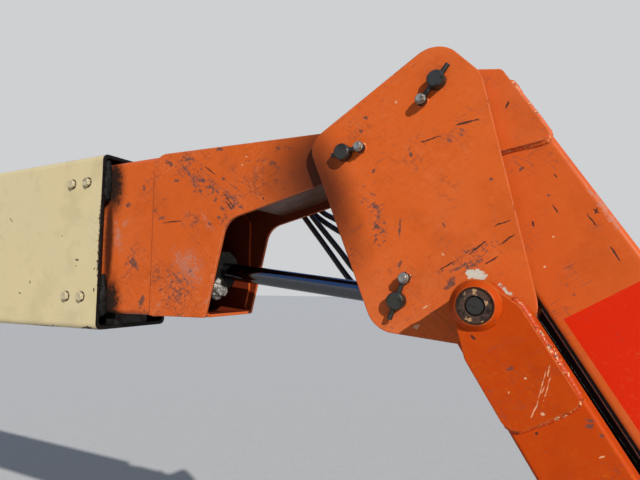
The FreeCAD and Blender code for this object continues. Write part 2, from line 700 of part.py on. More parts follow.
add("jib_cylinder_gland", placed(lift_gland, LINK_PIN, lift_angle))
add("jib_cylinder_rod", placed(lift_rod, LINK_PIN, lift_angle))


# Lower links, drawn along X from the link pin, then laid in place
def link_ends():
    """Place and direction of each link's two ends."""
    return ((0.0, 1), (JIB_LENGTH, -1))


def link_tube(side):
    """Box tube of one link, coped round its eye tubes."""
    low, high = between(side, LINK_INNER, LINK_OUTER)
    tube = box_tube(LINK_DEEP / 2, -LINK_HALF_WIDTH, LINK_HALF_WIDTH, LINK_WALL, LINK_BEND,
                    LINK_EYE_RADIUS - LINK_TUBE_OVER_EYE, JIB_LENGTH - LINK_EYE_RADIUS + LINK_TUBE_OVER_EYE)
    tube.translate(Vector(0, (low + high) / 2, 0))
    for middle, _ in link_ends():
        tube = tube.cut(round_bar((middle, 0), LINK_EYE_RADIUS, low - 1, high + 1))
    return placed(tube, LINK_PIN, JIB_ANGLE)


# Outline of an ear plate from its eye: distance down the link, distance above its middle line, corner radius
LINK_EAR_OUTLINE = [
    (-18.0, 26.0, 0),
    (25.0, LINK_EAR_ABOVE, 6),
    (LINK_EAR_LENGTH, LINK_EAR_ABOVE, 12),
    (LINK_EAR_LENGTH, -LINK_EAR_BELOW, 20),
    (50.0, -LINK_EAR_BELOW, 20),
    (0.0, -LINK_EYE_RADIUS, 0),
]


def link_ears(side):
    """Ear plates on the outside of one link, one at each end."""
    low, high = between(side, LINK_OUTER, EAR_OUTER)
    solids = []
    for middle, way in link_ends():
        ear = slab([(middle + way * x, z, radius) for x, z, radius in LINK_EAR_OUTLINE], low, high)
        ear = ear.fuse(round_bar((middle, 0), LINK_EAR_ROUND, low, high)).removeSplitter()
        ear = ear.cut(round_bar((middle, 0), LINK_EYE_RADIUS, low - 1, high + 1))
        solids.append(placed(ear, LINK_PIN, JIB_ANGLE))
    return solids


def link_eyes(side):
    """Eye tubes of one link, each standing out of its ear as a collar that narrows to its mouth."""
    low, high = between(side, LINK_INNER, EAR_OUTER)
    solids = []
    for middle, _ in link_ends():
        foot = Vector(middle, side * EAR_OUTER, 0)
        collar = Part.makeCone(LINK_COLLAR_FOOT, LINK_COLLAR_MOUTH, LINK_COLLAR_STAND, foot, Vector(0, side, 0))
        eye = round_bar((middle, 0), LINK_EYE_RADIUS, low, high).fuse(collar)
        eye = eye.cut(round_bar((middle, 0), LINK_EYE_BORE, -COLLAR_OUTER - 1, COLLAR_OUTER + 1))
        solids.append(placed(eye, LINK_PIN, JIB_ANGLE))
    return solids


def link_bushes(side):
    """Bushes pressed into one link's eye tubes, just short of the collar's mouth."""
    low, high = between(side, LINK_INNER, COLLAR_OUTER - LINK_BUSH_RECESS)
    radius = LINK_EYE_BORE - LINK_BUSH_RUN
    hole = LINK_PIN_RADIUS + PIN_RUN
    return [placed(ring((middle, 0), radius, hole, low, high), LINK_PIN, JIB_ANGLE)
            for middle, _ in link_ends()]


near, far = pair(link_tube)
add("link_tube_near", near)
add("link_tube_far", far)
near, far = pair(link_ears)
add("link_ears_near", *near)
add("link_ears_far", *far)
add("link_eye_tubes", *[eye for eyes in pair(link_eyes) for eye in eyes])
add("link_bushes", *[bush for bushes in pair(link_bushes) for bush in bushes])
tie_middle = JIB_LENGTH / 2
tie = slab(
    [
        (tie_middle - LINK_TIE_LENGTH / 2, -LINK_HALF_WIDTH, 0),
        (tie_middle + LINK_TIE_LENGTH / 2, -LINK_HALF_WIDTH, 0),
        (tie_middle + LINK_TIE_LENGTH / 2, -LINK_HALF_WIDTH - LINK_TIE_THICK, 0),
        (tie_middle - LINK_TIE_LENGTH / 2, -LINK_HALF_WIDTH - LINK_TIE_THICK, 0),
    ],
    -LINK_OUTER,
    LINK_OUTER,
)
add("link_tie", placed(tie, LINK_PIN, JIB_ANGLE))


# Platform bracket
def bracket_plate(side):
    """Side plate between the jib's and the link's far pins and the platform face."""
    low, high = between(side, KNUCKLE_INNER, KNUCKLE_OUTER)
    face_x = jib_end[0] + BRACKET_FACE_OUT
    corners = [
        (jib_end[0] - BRACKET_EYE, jib_end[1] + BRACKET_EYE, BRACKET_CORNER),
        (face_x, jib_end[1] + BRACKET_FACE_OVER, 0),
        (face_x, link_end[1] - BRACKET_FACE_OVER, 0),
        (link_end[0] - BRACKET_EYE, link_end[1] - BRACKET_EYE, BRACKET_CORNER),
    ]
    plate = slab(corners, low, high)
    plate = plate.cut(round_bar(jib_end, PIN_RADIUS, low - 1, high + 1))
    return plate.cut(round_bar(link_end, LINK_PIN_RADIUS, low - 1, high + 1))


near, far = pair(bracket_plate)
add("bracket_plate_near", near)
add("bracket_plate_far", far)
face_x = jib_end[0] + BRACKET_FACE_OUT
face_low = link_end[1] - BRACKET_FACE_OVER
face_high = jib_end[1] + BRACKET_FACE_OVER
face = Part.makeBox(BRACKET_FACE_THICK, 2 * KNUCKLE_OUTER, face_high - face_low,
                    Vector(face_x, -KNUCKLE_OUTER, face_low))
face_middle = (face_low + face_high) / 2
for y in (-BRACKET_HOLES_Y / 2, BRACKET_HOLES_Y / 2):
    for z in (face_middle - BRACKET_HOLES_Z / 2, face_middle + BRACKET_HOLES_Z / 2):
        face = face.cut(Part.makeCylinder(BRACKET_HOLE, BRACKET_FACE_THICK + 2,
                                          Vector(face_x - 1, y, z), Vector(1, 0, 0)))
add("platform_face", face)
add("bracket_jib_pin", chamfered(round_bar(jib_end, PIN_RADIUS, -tail_face, tail_face), PIN_CHAMFER))


def bracket_link_pin(side):
    """Short pin from the bracket's plate into one link."""
    low, high = between(side, KNUCKLE_INNER, link_pin_end)
    return chamfered(round_bar(link_end, LINK_PIN_RADIUS, low, high), PIN_CHAMFER)


add("bracket_link_pins", *pair(bracket_link_pin))

# Hoses between the port blocks: row on the gooseneck's block, y, height and slope of the knuckle's port,
# straight lead at each end, and the points (x, z) that the hose passes between them
HOSES = [
    (0, HOSE_INNER_Y, -12.0, 0.0, 40.0, 30.0, [(3757.0, 82.5), (3803.0, 22.0), (3826.0, 0.0)]),
    (1, HOSE_INNER_Y, 8.0, 0.0, 36.0, 26.0, [(3754.3, 114.5), (3787.6, 76.2), (3814.0, 42.5), (3838.0, 20.0)]),
    (1, HOSE_OUTER_Y, 36.0, -30.0, 22.0, 26.0, [(3752.0, 136.0), (3795.0, 111.5), (3835.0, 86.0)]),
    (2, HOSE_OUTER_Y, 54.0, -30.0, 30.0, 26.0, [(3772.0, 146.5), (3809.0, 126.5), (3842.0, 102.0)]),
]
port_rows = [hose[0] for hose in HOSES]
port_heights = [hose[2] for hose in HOSES]
hose_ahead, hose_up = turned(HOSE_ANGLE)


def ferrule(start, ahead):
    """Crimped sleeve that stands out of a block's face."""
    return Part.makeCylinder(HOSE_FERRULE_RADIUS, HOSE_FERRULE_LENGTH, start, ahead)


block = slab(
    [
        (-PORT_BLOCK_LENGTH, -PORT_BLOCK_EDGE, 0),
        (0, -PORT_BLOCK_EDGE, 0),
        (0, max(port_rows) * HOSE_PITCH + PORT_BLOCK_EDGE, 0),
        (-PORT_BLOCK_LENGTH, max(port_rows) * HOSE_PITCH + PORT_BLOCK_EDGE, 0),
    ],
    INNER_HALF,
    PORT_BLOCK_OUTER,
)
goose_block = placed(block, FIRST_PORT, HOSE_ANGLE)
block_floor = min(port_heights) - KNUCKLE_BLOCK_EDGE
block_height = max(port_heights) + KNUCKLE_BLOCK_EDGE - block_floor
knuckle_block = Part.makeBox(KNUCKLE_BLOCK_LENGTH, PORT_BLOCK_OUTER - KNUCKLE_OUTER, block_height,
                             Vector(KNUCKLE_BLOCK_X, KNUCKLE_OUTER, block_floor))


def hose(points):
    """Round hose along straight runs joined by tangent arcs, each as large as its two runs allow."""
    edges = []
    radii = []
    at = points[0]
    for before, corner, after in zip(points, points[1:], points[2:]):
        into = corner - before
        out = after - corner
        reach = HOSE_ARC_SHARE * min(into.Length, out.Length)
        into.normalize()
        out.normalize()
        half = into.getAngle(out) / 2
        radius = reach / math.tan(half)
        inward = out - into
        inward.normalize()
        start = corner - into * reach
        end = corner + out * reach
        crown = corner + inward * (radius / math.cos(half) - radius)
        edges.append(Part.LineSegment(at, start).toShape())
        edges.append(Part.Arc(start, crown, end).toShape())
        radii.append(round(radius))
        at = end
    edges.append(Part.LineSegment(at, points[-1]).toShape())
    path = Part.Wire(edges)
    ring_edge = Part.Circle(points[0], points[1] - points[0], HOSE_RADIUS).toShape()
    tube = path.makePipeShell([Part.Wire(ring_edge)], True, False)
    share = tube.Volume / (math.pi * HOSE_RADIUS ** 2 * path.Length)
    print("hose length", round(path.Length), "radii", radii, "volume share", round(share, 4))
    return tube


for i, (row, y, height, slope, lead_out, lead_in, middle) in enumerate(HOSES):
    first = Vector(FIRST_PORT[0], y, FIRST_PORT[1]) + hose_up * (row * HOSE_PITCH)
    last = Vector(KNUCKLE_BLOCK_X, y, height)
    goose_block = goose_block.fuse(ferrule(first, hose_ahead))
    into_block, _ = turned(slope)
    knuckle_block = knuckle_block.fuse(ferrule(last, -into_block))
    start = first + hose_ahead * HOSE_FERRULE_LENGTH
    end = last - into_block * HOSE_FERRULE_LENGTH
    points = [start, start + hose_ahead * lead_out]
    points += [Vector(x, y, z) for x, z in middle]
    points += [end - into_block * lead_in, end]
    add(f"hose_{i + 1}", hose(points))
add("gooseneck_port_block", goose_block)
add("knuckle_port_block", knuckle_block)

os.makedirs("parts", exist_ok=True)
for name, shape in parts.items():
    shape.exportStep(f"parts/{name}.step")
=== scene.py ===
"""Looks of a telescopic boom with an articulating jib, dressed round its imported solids.

Lengths are metres in the part's own frame: X runs forward along the boom, Z is up and the near side is -Y.
"""

import logging
import math
from collections.abc import Callable, Sequence
from dataclasses import dataclass, replace
from enum import Enum
from functools import cache
from typing import ClassVar

import bpy
import numpy as np
from mathutils import Matrix, Vector


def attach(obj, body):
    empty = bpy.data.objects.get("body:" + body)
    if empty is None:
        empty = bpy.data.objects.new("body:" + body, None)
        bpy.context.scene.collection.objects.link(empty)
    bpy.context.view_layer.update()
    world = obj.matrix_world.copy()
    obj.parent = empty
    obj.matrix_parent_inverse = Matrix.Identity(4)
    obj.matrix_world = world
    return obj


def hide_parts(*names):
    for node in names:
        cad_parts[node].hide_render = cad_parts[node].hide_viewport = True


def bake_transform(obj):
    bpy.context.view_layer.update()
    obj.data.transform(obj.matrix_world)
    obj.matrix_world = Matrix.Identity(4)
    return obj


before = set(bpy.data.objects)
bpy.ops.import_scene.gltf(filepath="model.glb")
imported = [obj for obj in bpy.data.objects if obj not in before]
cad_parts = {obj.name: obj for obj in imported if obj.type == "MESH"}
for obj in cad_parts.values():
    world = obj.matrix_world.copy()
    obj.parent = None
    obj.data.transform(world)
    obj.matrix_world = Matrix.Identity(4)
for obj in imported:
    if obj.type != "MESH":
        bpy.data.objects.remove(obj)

LOG = logging.getLogger("boom")
FEATHER = 0.0006
SHARP = 35.0
BEAD_PITCH = 0.0017
BEAD_DROP = 0.005
LUMP_SWELL = 0.45
SOCKETS = ("Base Color", "Roughness", "Normal", "Specular IOR Level", "Metallic")

Array = np.ndarray
Row = Sequence[float]
Colour = tuple[float, float, float]
Place = tuple[float, float]
Socket = bpy.types.NodeSocket
Value = float | Socket
Input = Value | Row | None
Inputs = dict[int | str, Input]


class Side(Enum):
    """The two sides of the boom, as the sign of Y."""

    NEAR = -1
    FAR = 1


@dataclass(frozen=True)
class Look:
    """How one kind of mark, of wear or of painted shade, is painted.

    Args:
        tone: Its colour.
        strength: How far it covers the paint.
        solid: How whole it is in its middle, or None for a smooth one.
        crisp: Width of its edge, as a share of its size.
        ragged: How far its outline wanders.
    """

    tone: Colour
    strength: float
    solid: float | None
    crisp: float
    ragged: float = 0.014


class WearAndShade(Enum):
    """Kinds of mark and their looks, in the order in which they lie on the paint.

    Newer paint has straight edges and no look of its own. The others are a painted shadow, which also
    darkens the fly softly next to the base's mouth, a painted shade, pale abraded patches, wide scuffed
    zones, dark scuffs, dark scratches, pale scores, pale chips, bare filler and soot.
    """

    PATCH = None
    # Painted shadow over the gooseneck's front end; on the fly it darkens softly next to the base's mouth.
    DUSK = Look((0.055, 0.014, 0.007), 0.94, None, 0.7)
    # Painted shade down the knuckle plate's left edge.
    SHADE = Look((0.065, 0.014, 0.006), 0.90, None, 0.9)
    RUB = Look((0.50, 0.23, 0.17), 0.60, 0.18, 0.9)
    WORN = Look((0.14, 0.070, 0.060), 0.90, 0.155, 1.0, 0.030)
    SCUFF = Look((0.115, 0.060, 0.052), 0.85, 0.24, 0.9, 0.012)
    SCRATCH = Look((0.045, 0.022, 0.018), 0.90, 0.32, 0.8, 0.005)
    SCORE = Look((0.82, 0.44, 0.24), 0.75, 0.26, 0.9, 0.004)
    CHIP = Look((0.70, 0.42, 0.24), 0.90, 0.24, 1.0, 0.006)
    FLAKE = Look((0.62, 0.60, 0.51), 1.0, 0.80, 0.3, 0.034)
    SOOT = Look((0.020, 0.013, 0.009), 0.96, 0.25, 1.0, 0.020)


@dataclass(frozen=True)
class Mark:
    """One mark on the near side, of wear or of painted shade: an ellipse, or a rectangle of newer paint.

    Args:
        kind: What it looks like.
        x: Place along the boom.
        z: Height.
        length: Half its length.
        width: Half its width.
        angle: Degrees above X.
    """

    kind: WearAndShade
    x: float
    z: float
    length: float
    width: float
    angle: float = 0.0


@dataclass(frozen=True)
class Lie:
    """A straight member's own axes in the XZ plane: along it, and above it."""

    x: float
    z: float
    angle: float

    @property
    def along(self) -> Array:
        """Unit vector along the member."""
        turn = math.radians(self.angle)
        return np.array((math.cos(turn), 0.0, math.sin(turn)))

    @property
    def above(self) -> Array:
        """Unit vector above the member."""
        return Lie(0.0, 0.0, self.angle + 90.0).along

    def at(self, along: float | Array, above: float | Array, y: float | Array = 0.0) -> Array:
        """Points of the part at distances along, above and across the member."""
        along, above, y = np.broadcast_arrays(along, above, y)
        ahead = along[..., None] * self.along + above[..., None] * self.above
        return np.array((self.x, 0.0, self.z)) + ahead + y[..., None] * np.array((0.0, 1.0, 0.0))

    def seen(self, points: Array) -> tuple[Array, Array]:
        """Distances of points along and above the member."""
        off = points - np.array((self.x, 0.0, self.z))
        return off @ self.along, off @ self.above


JIB = Lie(4.0455, 0.3175, -60.0)
LINK = Lie(4.1070, -0.0190, -60.0)
REACH = 1.447


class Graph:
    """A shader's node tree, put together by calls that return sockets."""

    def __init__(self, tree: bpy.types.NodeTree, place: str = "Object") -> None:
        """Keeps the tree.

        Args:
            tree: The tree of a material or of the world.
            place: Texture coordinates that its patterns read.
        """
        self.tree = tree
        self.place = self.add("TexCoord").outputs[place]

    def wire(self, value: Input, socket: Socket) -> None:
        """Links a socket, or writes a plain value into it, a colour with its alpha."""
        if isinstance(value, Socket):
            self.tree.links.new(value, socket)
        elif value is not None:
            socket.default_value = (*value, 1.0) if socket.type == "RGBA" else value

    def add(self, kind: str, inputs: Inputs | None = None, **options: object) -> bpy.types.Node:
        """Adds a node.

        Args:
            kind: Its type, without the first words that all types share.
            inputs: What its inputs get.
            options: Its settings.
        """
        node = self.tree.nodes.new("ShaderNode" + kind)
        for name, option in options.items():
            setattr(node, name, option)
        for name, value in (inputs or {}).items():
            self.wire(value, node.inputs[name])
        return node

    def math(self, operation: str, *values: Value) -> Socket:
        """Result of one Math node."""
        return self.add("Math", dict(enumerate(values)), operation=operation).outputs[0]

    def times(self, first: Value, second: Value) -> Socket:
        """Product of two values."""
        return self.math("MULTIPLY", first, second)

    def plus(self, first: Value, second: Value) -> Socket:
        """Sum of two values."""
        return self.math("ADD", first, second)

    def most(self, first: Value | None, second: Value) -> Value:
        """The larger of two values, or the second where there is no first."""
        return second if first is None else self.math("MAXIMUM", first, second)

    def vector(self, operation: str, *values: Input) -> Socket:
        """Result of one Vector Math node, its vector or, for lengths and dots, its value."""
        node = self.add("VectorMath", dict(enumerate(values)), operation=operation)
        return node.outputs["Value" if operation in ("LENGTH", "DOT_PRODUCT") else "Vector"]

    def split(self, vector: Socket) -> tuple[Socket, ...]:
        """X, Y and Z of a vector."""
        return tuple(self.add("SeparateXYZ", {0: vector}).outputs)

    def mapped(self, place: Place, turn: float, size: Row, source: Socket | None = None) -> Socket:
        """Coordinates seen from a place, turned about Y and measured in sizes.

        Args:
            place: X and Z of the new origin.
            turn: Degrees that the new X axis rises above X.
            size: Length that counts as 1 along each new axis.
            source: Coordinates to start from, the object's own by default.
        """
        inputs = {"Vector": source or self.place, "Location": (place[0], 0.0, place[1]), "Scale": size,
                  "Rotation": (0.0, -math.radians(turn), 0.0)}
        return self.add("Mapping", inputs, vector_type="TEXTURE").outputs[0]

    def on(self, lie: Lie) -> tuple[Socket, ...]:
        """Distances along, across and above a member."""
        return self.split(self.mapped((lie.x, lie.z), lie.angle, (1.0, 1.0, 1.0)))

    def across(self) -> Socket:
        """Distance from the middle plane."""
        return self.math("ABSOLUTE", self.split(self.place)[1])

    def noise(self, scale: float, detail: float = 4.0, rough: float = 0.55, source: Socket | None = None,
              output: str = "Fac") -> Socket:
        """Noise over the object, as a value of about 0.5 or as a colour."""
        inputs = {"Vector": source or self.place, "Scale": scale, "Detail": detail, "Roughness": rough}
        return self.add("TexNoise", inputs).outputs[output]

    def band(self, value: Value, low: float, high: float, top: float = 1.0) -> Socket:
        """Smooth step from 0 at low to top at high, which may be under low."""
        ends = (0.0, top) if low < high else (top, 0.0)
        inputs = {"Value": value, "From Min": min(low, high), "From Max": max(low, high), "To Min": ends[0],
                  "To Max": ends[1]}
        return self.add("MapRange", inputs, interpolation_type="SMOOTHSTEP").outputs["Result"]

    def blend(self, share: Value, first: Input, second: Input) -> Socket:
        """Mixes two colours by a share."""
        return self.add("Mix", {0: share, 6: first, 7: second}, data_type="RGBA").outputs[2]

    def lines(self, turn: float, pitch: float, length: float, fine: float) -> Socket:
        """Hairlines: where a stretched noise crosses its middle value.

        Args:
            turn: Degrees above X that the lines run.
            pitch: Distance between lines.
            length: Length over which a line bends.
            fine: Share of the noise's range that counts as line.
        """
        level = self.noise(1.0, 2.0, 0.5, self.mapped((0.0, 0.0), turn, (length, pitch, pitch)))
        return self.band(self.math("ABSOLUTE", self.math("SUBTRACT", level, 0.5)), fine, 0.0)

    def streaks(self, turn: float) -> Socket:
        """Noise drawn out along one direction of the side plates."""
        return self.noise(1.0, 5.0, 0.7, self.mapped((0.0, 0.0), turn, (0.045, 0.006, 0.006)))

    def edges(self, radius: float) -> tuple[Socket, Socket]:
        """Rounded normal, and how strongly a point lies on an edge."""
        rounded = self.add("Bevel", {"Radius": radius}, samples=4).outputs[0]
        agree = self.vector("DOT_PRODUCT", rounded, self.add("NewGeometry").outputs["Normal"])
        return rounded, self.band(agree, 0.995, 0.80)

    def bump(self, height: Value, strength: float, distance: float, normal: Socket | None = None) -> Socket:
        """Normal bent by a height in metres times distance."""
        inputs = {"Height": height, "Strength": strength, "Distance": distance, "Normal": normal}
        return self.add("Bump", inputs).outputs[0]


@dataclass(frozen=True)
class Finish:
    """A material that is built once.

    Args:
        name: Name of the material.
        colour: Tone where it is sound and clean.
    """

    name: str
    colour: Colour

    def shade(self, graph: Graph) -> tuple[Input, ...]:
        """What the shader's sockets get, in their order."""
        raise NotImplementedError

    @cache
    def made(self) -> bpy.types.Material:
        """The material, built the first time that it is asked for."""
        material = bpy.data.materials.new(self.name)
        material.use_nodes = True
        graph = Graph(material.node_tree)
        for socket, value in zip(SOCKETS, self.shade(graph)):
            graph.wire(value, graph.tree.nodes["Principled BSDF"].inputs[socket])
        return material


Mask = Callable[[Graph], Socket]


def inner_faces(half: float) -> Mask:
    """Mask of what lies nearer to the middle plane than a half width."""
    return lambda graph: graph.band(graph.across(), half + FEATHER, half)


def underside(lie: Lie, level: float) -> Mask:
    """Mask of what lies below a level of a slanting member."""
    return lambda graph: graph.band(graph.on(lie)[2], level + FEATHER, level)


def bore_rims(lie: Lie, radius: float) -> Mask:
    """Mask of what lies within a radius of the pins at both ends of a member."""

    def mask(graph: Graph) -> Socket:
        """Smooth step on the distance from the nearer pin's axis."""
        along, _, above = graph.on(lie)
        from_end = graph.math("ABSOLUTE", graph.math("SUBTRACT", REACH, along))
        nearer = graph.math("MINIMUM", graph.math("ABSOLUTE", along), from_end)
        square = graph.plus(graph.times(nearer, nearer), graph.times(above, above))
        return graph.band(graph.math("SQRT", square), radius + 0.0005, radius)

    return mask


def hollow(half: float, low: float, high: float, mouth: float) -> Mask:
    """Mask of the inside of a box tube along X, and of its front end face.

    Args:
        half: Half width of the hollow.
        low: Height of its floor.
        high: Height of its roof.
        mouth: X of its front end.
    """

    def mask(graph: Graph) -> Socket:
        """Product of three steps, or the step at the front end."""
        x, _, z = graph.split(graph.place)
        over = graph.times(graph.band(z, low - FEATHER, low), graph.band(z, high + FEATHER, high))
        inside = graph.times(graph.band(graph.across(), half + FEATHER, half), over)
        return graph.most(inside, graph.band(x, mouth - 0.0012, mouth - 0.0002))

    return mask


@dataclass(frozen=True)
class Paint(Finish):
    """Old gloss paint on steel: it fades in clouds and carries hairlines, scuffs and marks, and lighter
    edges that are paint wear and a painted highlight. Masked faces take painted shade.

    Args:
        faded: Tone of the chalky clouds.
        worn: Tone of edges where the paint wears off, also a painted highlight along them.
        fade: How far the clouds go to the faded tone.
        hairlines: How strong the fine scratches are.
        scuffs: Level of noise above which paint is scuffed, less for more scuffs.
        streaked: How strong the streaky wear is.
        streak: Tone of its dark streaks.
        edge: How strongly edges are worn.
        rough: Roughness of the sound paint.
        gloss: Specular level.
        marks: Marks of this piece, of wear and of painted shade.
        grime_and_shade: Tone of the masked faces: painted shade in hollows and undersides, with grease and
            rust.
        masks: Masks of the faces that take that tone.
        patch: Tone of the newer paint.
    """

    faded: Colour = (0.63, 0.170, 0.060)
    worn: Colour = (0.62, 0.27, 0.15)
    fade: float = 0.35
    hairlines: float = 0.7
    scuffs: float = 0.64
    streaked: float = 0.35
    streak: Colour = (0.20, 0.065, 0.040)
    edge: float = 0.7
    rough: float = 0.38
    gloss: float = 0.12
    marks: tuple[Mark, ...] = ()
    grime_and_shade: Colour = (0.020, 0.012, 0.008)
    masks: tuple[Mask, ...] = ()
    patch: Colour = (0.66, 0.020, 0.0005)

    def patches(self, graph: Graph) -> Socket | None:
        """Share of newer paint at a point: inside any of its rectangles."""
        total = None
        for mark in self.marks:
            if mark.kind is WearAndShade.PATCH:
                seen = graph.mapped((mark.x, mark.z), mark.angle, (mark.length, 1.0, mark.width))
                along, _, above = graph.split(graph.vector("ABSOLUTE", seen))
                total = graph.most(total, graph.band(graph.most(along, above), 1.001, 0.999))
        return total

    def cover(self, graph: Graph, kind: WearAndShade, shift: Socket, noise: Socket) -> Socket | None:
        """Share of all marks of one kind at a point.

        A mark is 1 in its middle and 0 at its rim, less in the hollows of the noise that breaks it up.

        Args:
            graph: Node tree.
            kind: Kind of mark.
            shift: A wandering offset that makes the outlines uneven.
            noise: What breaks the marks up.
        """
        look = kind.value
        own = [mark for mark in self.marks if mark.kind is kind]
        if look is None or not own:
            return None
        offset = graph.vector("MULTIPLY", shift, (look.ragged, 0.0, look.ragged))
        wobbled = graph.vector("ADD", graph.place, offset)
        total = None
        for mark in own:
            seen = graph.mapped((mark.x, mark.z), mark.angle, (mark.length, 1000.0, mark.width), wobbled)
            total = graph.most(total, graph.band(graph.vector("LENGTH", seen), 1.0, 1.0 - look.crisp))
        total = graph.times(total, graph.band(graph.split(graph.place)[1], -0.03, -0.05))
        if look.solid is None:
            return total
        level = graph.plus(graph.times(total, look.solid), noise)
        return graph.times(graph.band(total, 0.0, 0.25), graph.band(level, 0.62, 0.70))

    def shade(self, graph: Graph) -> tuple[Input, ...]:
        """Mixes colour, roughness and bumps."""
        clouds = graph.noise(4.0, 6.0, 0.62)
        colour = graph.blend(graph.band(clouds, 0.45, 0.72, self.fade), self.colour, self.faded)
        colour = graph.blend(graph.band(graph.noise(70.0, 3.0, 0.6), 0.35, 0.75, 0.10), colour, self.faded)
        deep = tuple(0.72 * part for part in self.colour)
        colour = graph.blend(graph.band(graph.noise(14.0, 5.0, 0.6), 0.50, 0.68, 0.35), colour, deep)
        shift = graph.vector("SUBTRACT", graph.noise(70.0, 6.0, 0.75, output="Color"), (0.5, 0.5, 0.5))
        streaks = graph.most(graph.streaks(-38.0), graph.streaks(28.0))
        broken = graph.plus(graph.times(graph.noise(160.0, 5.0, 0.7), 0.45), graph.times(streaks, 0.50))
        spots = graph.band(graph.noise(34.0, 8.0, 0.72), self.scuffs, self.scuffs + 0.04)
        loss = graph.times(spots, graph.band(graph.noise(9.0, 3.0, 0.6), 0.46, 0.60))
        hair = graph.most(graph.lines(28.0, 0.012, 0.11, 0.012), graph.lines(-38.0, 0.017, 0.16, 0.010))
        hair = graph.times(hair, graph.band(graph.noise(13.0, 2.0, 0.5), 0.50, 0.64, self.hairlines))
        speck = graph.band(graph.noise(210.0, 2.0, 0.5), 0.735, 0.76, 0.8)
        loss = graph.most(loss, graph.most(hair, speck))
        patch = self.patches(graph)
        if patch is not None:
            colour = graph.blend(patch, colour, self.patch)
            loss = graph.times(loss, graph.math("SUBTRACT", 1.0, graph.times(patch, 0.6)))
        colour = graph.blend(graph.times(loss, 0.75), colour, WearAndShade.SCUFF.value.tone)
        wide = graph.band(graph.noise(6.0, 4.0, 0.6), 0.40, 0.62)
        dark = graph.times(wide, graph.band(broken, 0.52, 0.62, self.streaked))
        pale = graph.times(wide, graph.band(broken, 0.48, 0.39, self.streaked))
        colour = graph.blend(pale, graph.blend(dark, colour, self.streak), self.faded)
        for kind in WearAndShade:
            share = self.cover(graph, kind, shift, broken)
            if share is not None:
                colour = graph.blend(graph.times(share, kind.value.strength), colour, kind.value.tone)
                if kind.value.solid is not None:
                    loss = graph.most(loss, share)
        normal, edge = graph.edges(0.0028)
        chosen = graph.noise(48.0, 4.0, 0.65)
        # Pale edges: paint wear, and a painted highlight along the edges.
        edge_wear_and_highlight_share = graph.times(edge, graph.band(chosen, 0.36, 0.52, self.edge))
        colour = graph.blend(edge_wear_and_highlight_share, colour, self.worn)
        chipped = graph.times(edge, graph.band(chosen, 0.60, 0.64, 0.9))
        colour = graph.blend(chipped, colour, WearAndShade.SCRATCH.value.tone)
        # Masked faces go dark: painted shade in hollows, inner faces and undersides, with grease and rust.
        for mask in self.masks:
            shade_and_grime_tone = graph.blend(graph.band(broken, 0.52, 0.62, 0.7), self.grime_and_shade, (0.06, 0.040, 0.030))
            colour = graph.blend(mask(graph), colour, shade_and_grime_tone)
        rough = graph.plus(graph.band(clouds, 0.35, 0.75, 0.22), self.rough)
        rough = graph.plus(rough, graph.times(loss, 0.25))
        normal = graph.bump(graph.noise(11.0, 2.0, 0.4), 0.35, 0.004, normal)
        normal = graph.bump(graph.noise(420.0, 2.0, 0.5), 0.12, 0.0008, normal)
        normal = graph.bump(graph.math("SUBTRACT", 1.0, loss), 0.4, 0.0006, normal)
        return colour, rough, normal, self.gloss


@dataclass(frozen=True)
class Metal(Finish):
    """Bare or plated steel with weathering, and a painted highlight on its lighter edges.

    Args:
        stain: Tone of its stains.
        stained: Level of noise above which stains begin, less for more stains.
        rough: Roughness where it is clean.
        metal: Metallic share.
        grain: Strength of the fine bump.
        flecks: Tone of flecks.
        flecked: Level of noise above which flecks begin, or None for no fleck.
    """

    stain: Colour
    stained: float = 0.5
    rough: float = 0.35
    metal: float = 1.0
    grain: float = 0.3
    flecks: Colour = (0.46, 0.27, 0.13)
    flecked: float | None = None

    def shade(self, graph: Graph) -> tuple[Input, ...]:
        """Mixes colour, roughness and bumps."""
        stains = graph.band(graph.noise(60.0, 7.0, 0.68), self.stained, self.stained + 0.16)
        share = graph.most(stains, graph.band(graph.noise(320.0, 3.0, 0.6), 0.52, 0.70, 0.5))
        colour = graph.blend(share, self.colour, self.stain)
        if self.flecked is not None:
            flecks = graph.band(graph.noise(115.0, 4.0, 0.6), self.flecked, self.flecked + 0.03)
            colour = graph.blend(flecks, colour, self.flecks)
        normal, edge = graph.edges(0.0012)
        # Edges are lighter: a painted highlight.
        edge_highlight = tuple(min(1.0, 1.6 * part) for part in self.colour)
        colour = graph.blend(graph.times(edge, 0.35), colour, edge_highlight)
        rough = graph.plus(graph.times(share, 0.35), self.rough)
        normal = graph.bump(graph.noise(260.0, 4.0, 0.65), self.grain, 0.0006, normal)
        return colour, rough, normal, 0.5, self.metal


@dataclass(frozen=True)
class Weld(Finish):
    """Painted weld metal: its crests are chipped to dark steel and pale primer.

    Args:
        bare: Tone of the dark chips.
        primer: Tone of the pale chips.
        chipped: Level of noise above which chips begin.
    """

    bare: Colour = (0.050, 0.028, 0.018)
    primer: Colour = (0.74, 0.50, 0.26)
    chipped: float = 0.555

    def shade(self, graph: Graph) -> tuple[Input, ...]:
        """Mixes colour, roughness and bumps."""
        zone = graph.band(graph.noise(22.0, 4.0, 0.6), 0.42, 0.58)
        dark = graph.band(graph.noise(190.0, 3.0, 0.6), self.chipped, self.chipped + 0.02)
        pale = graph.band(graph.noise(240.0, 2.0, 0.5), self.chipped + 0.03, self.chipped + 0.05)
        colour = graph.blend(graph.times(zone, dark), self.colour, self.bare)
        colour = graph.blend(graph.times(zone, pale), colour, self.primer)
        normal = graph.bump(graph.noise(340.0, 3.0, 0.6), 0.5, 0.0010)
        return colour, 0.42, normal, 0.25


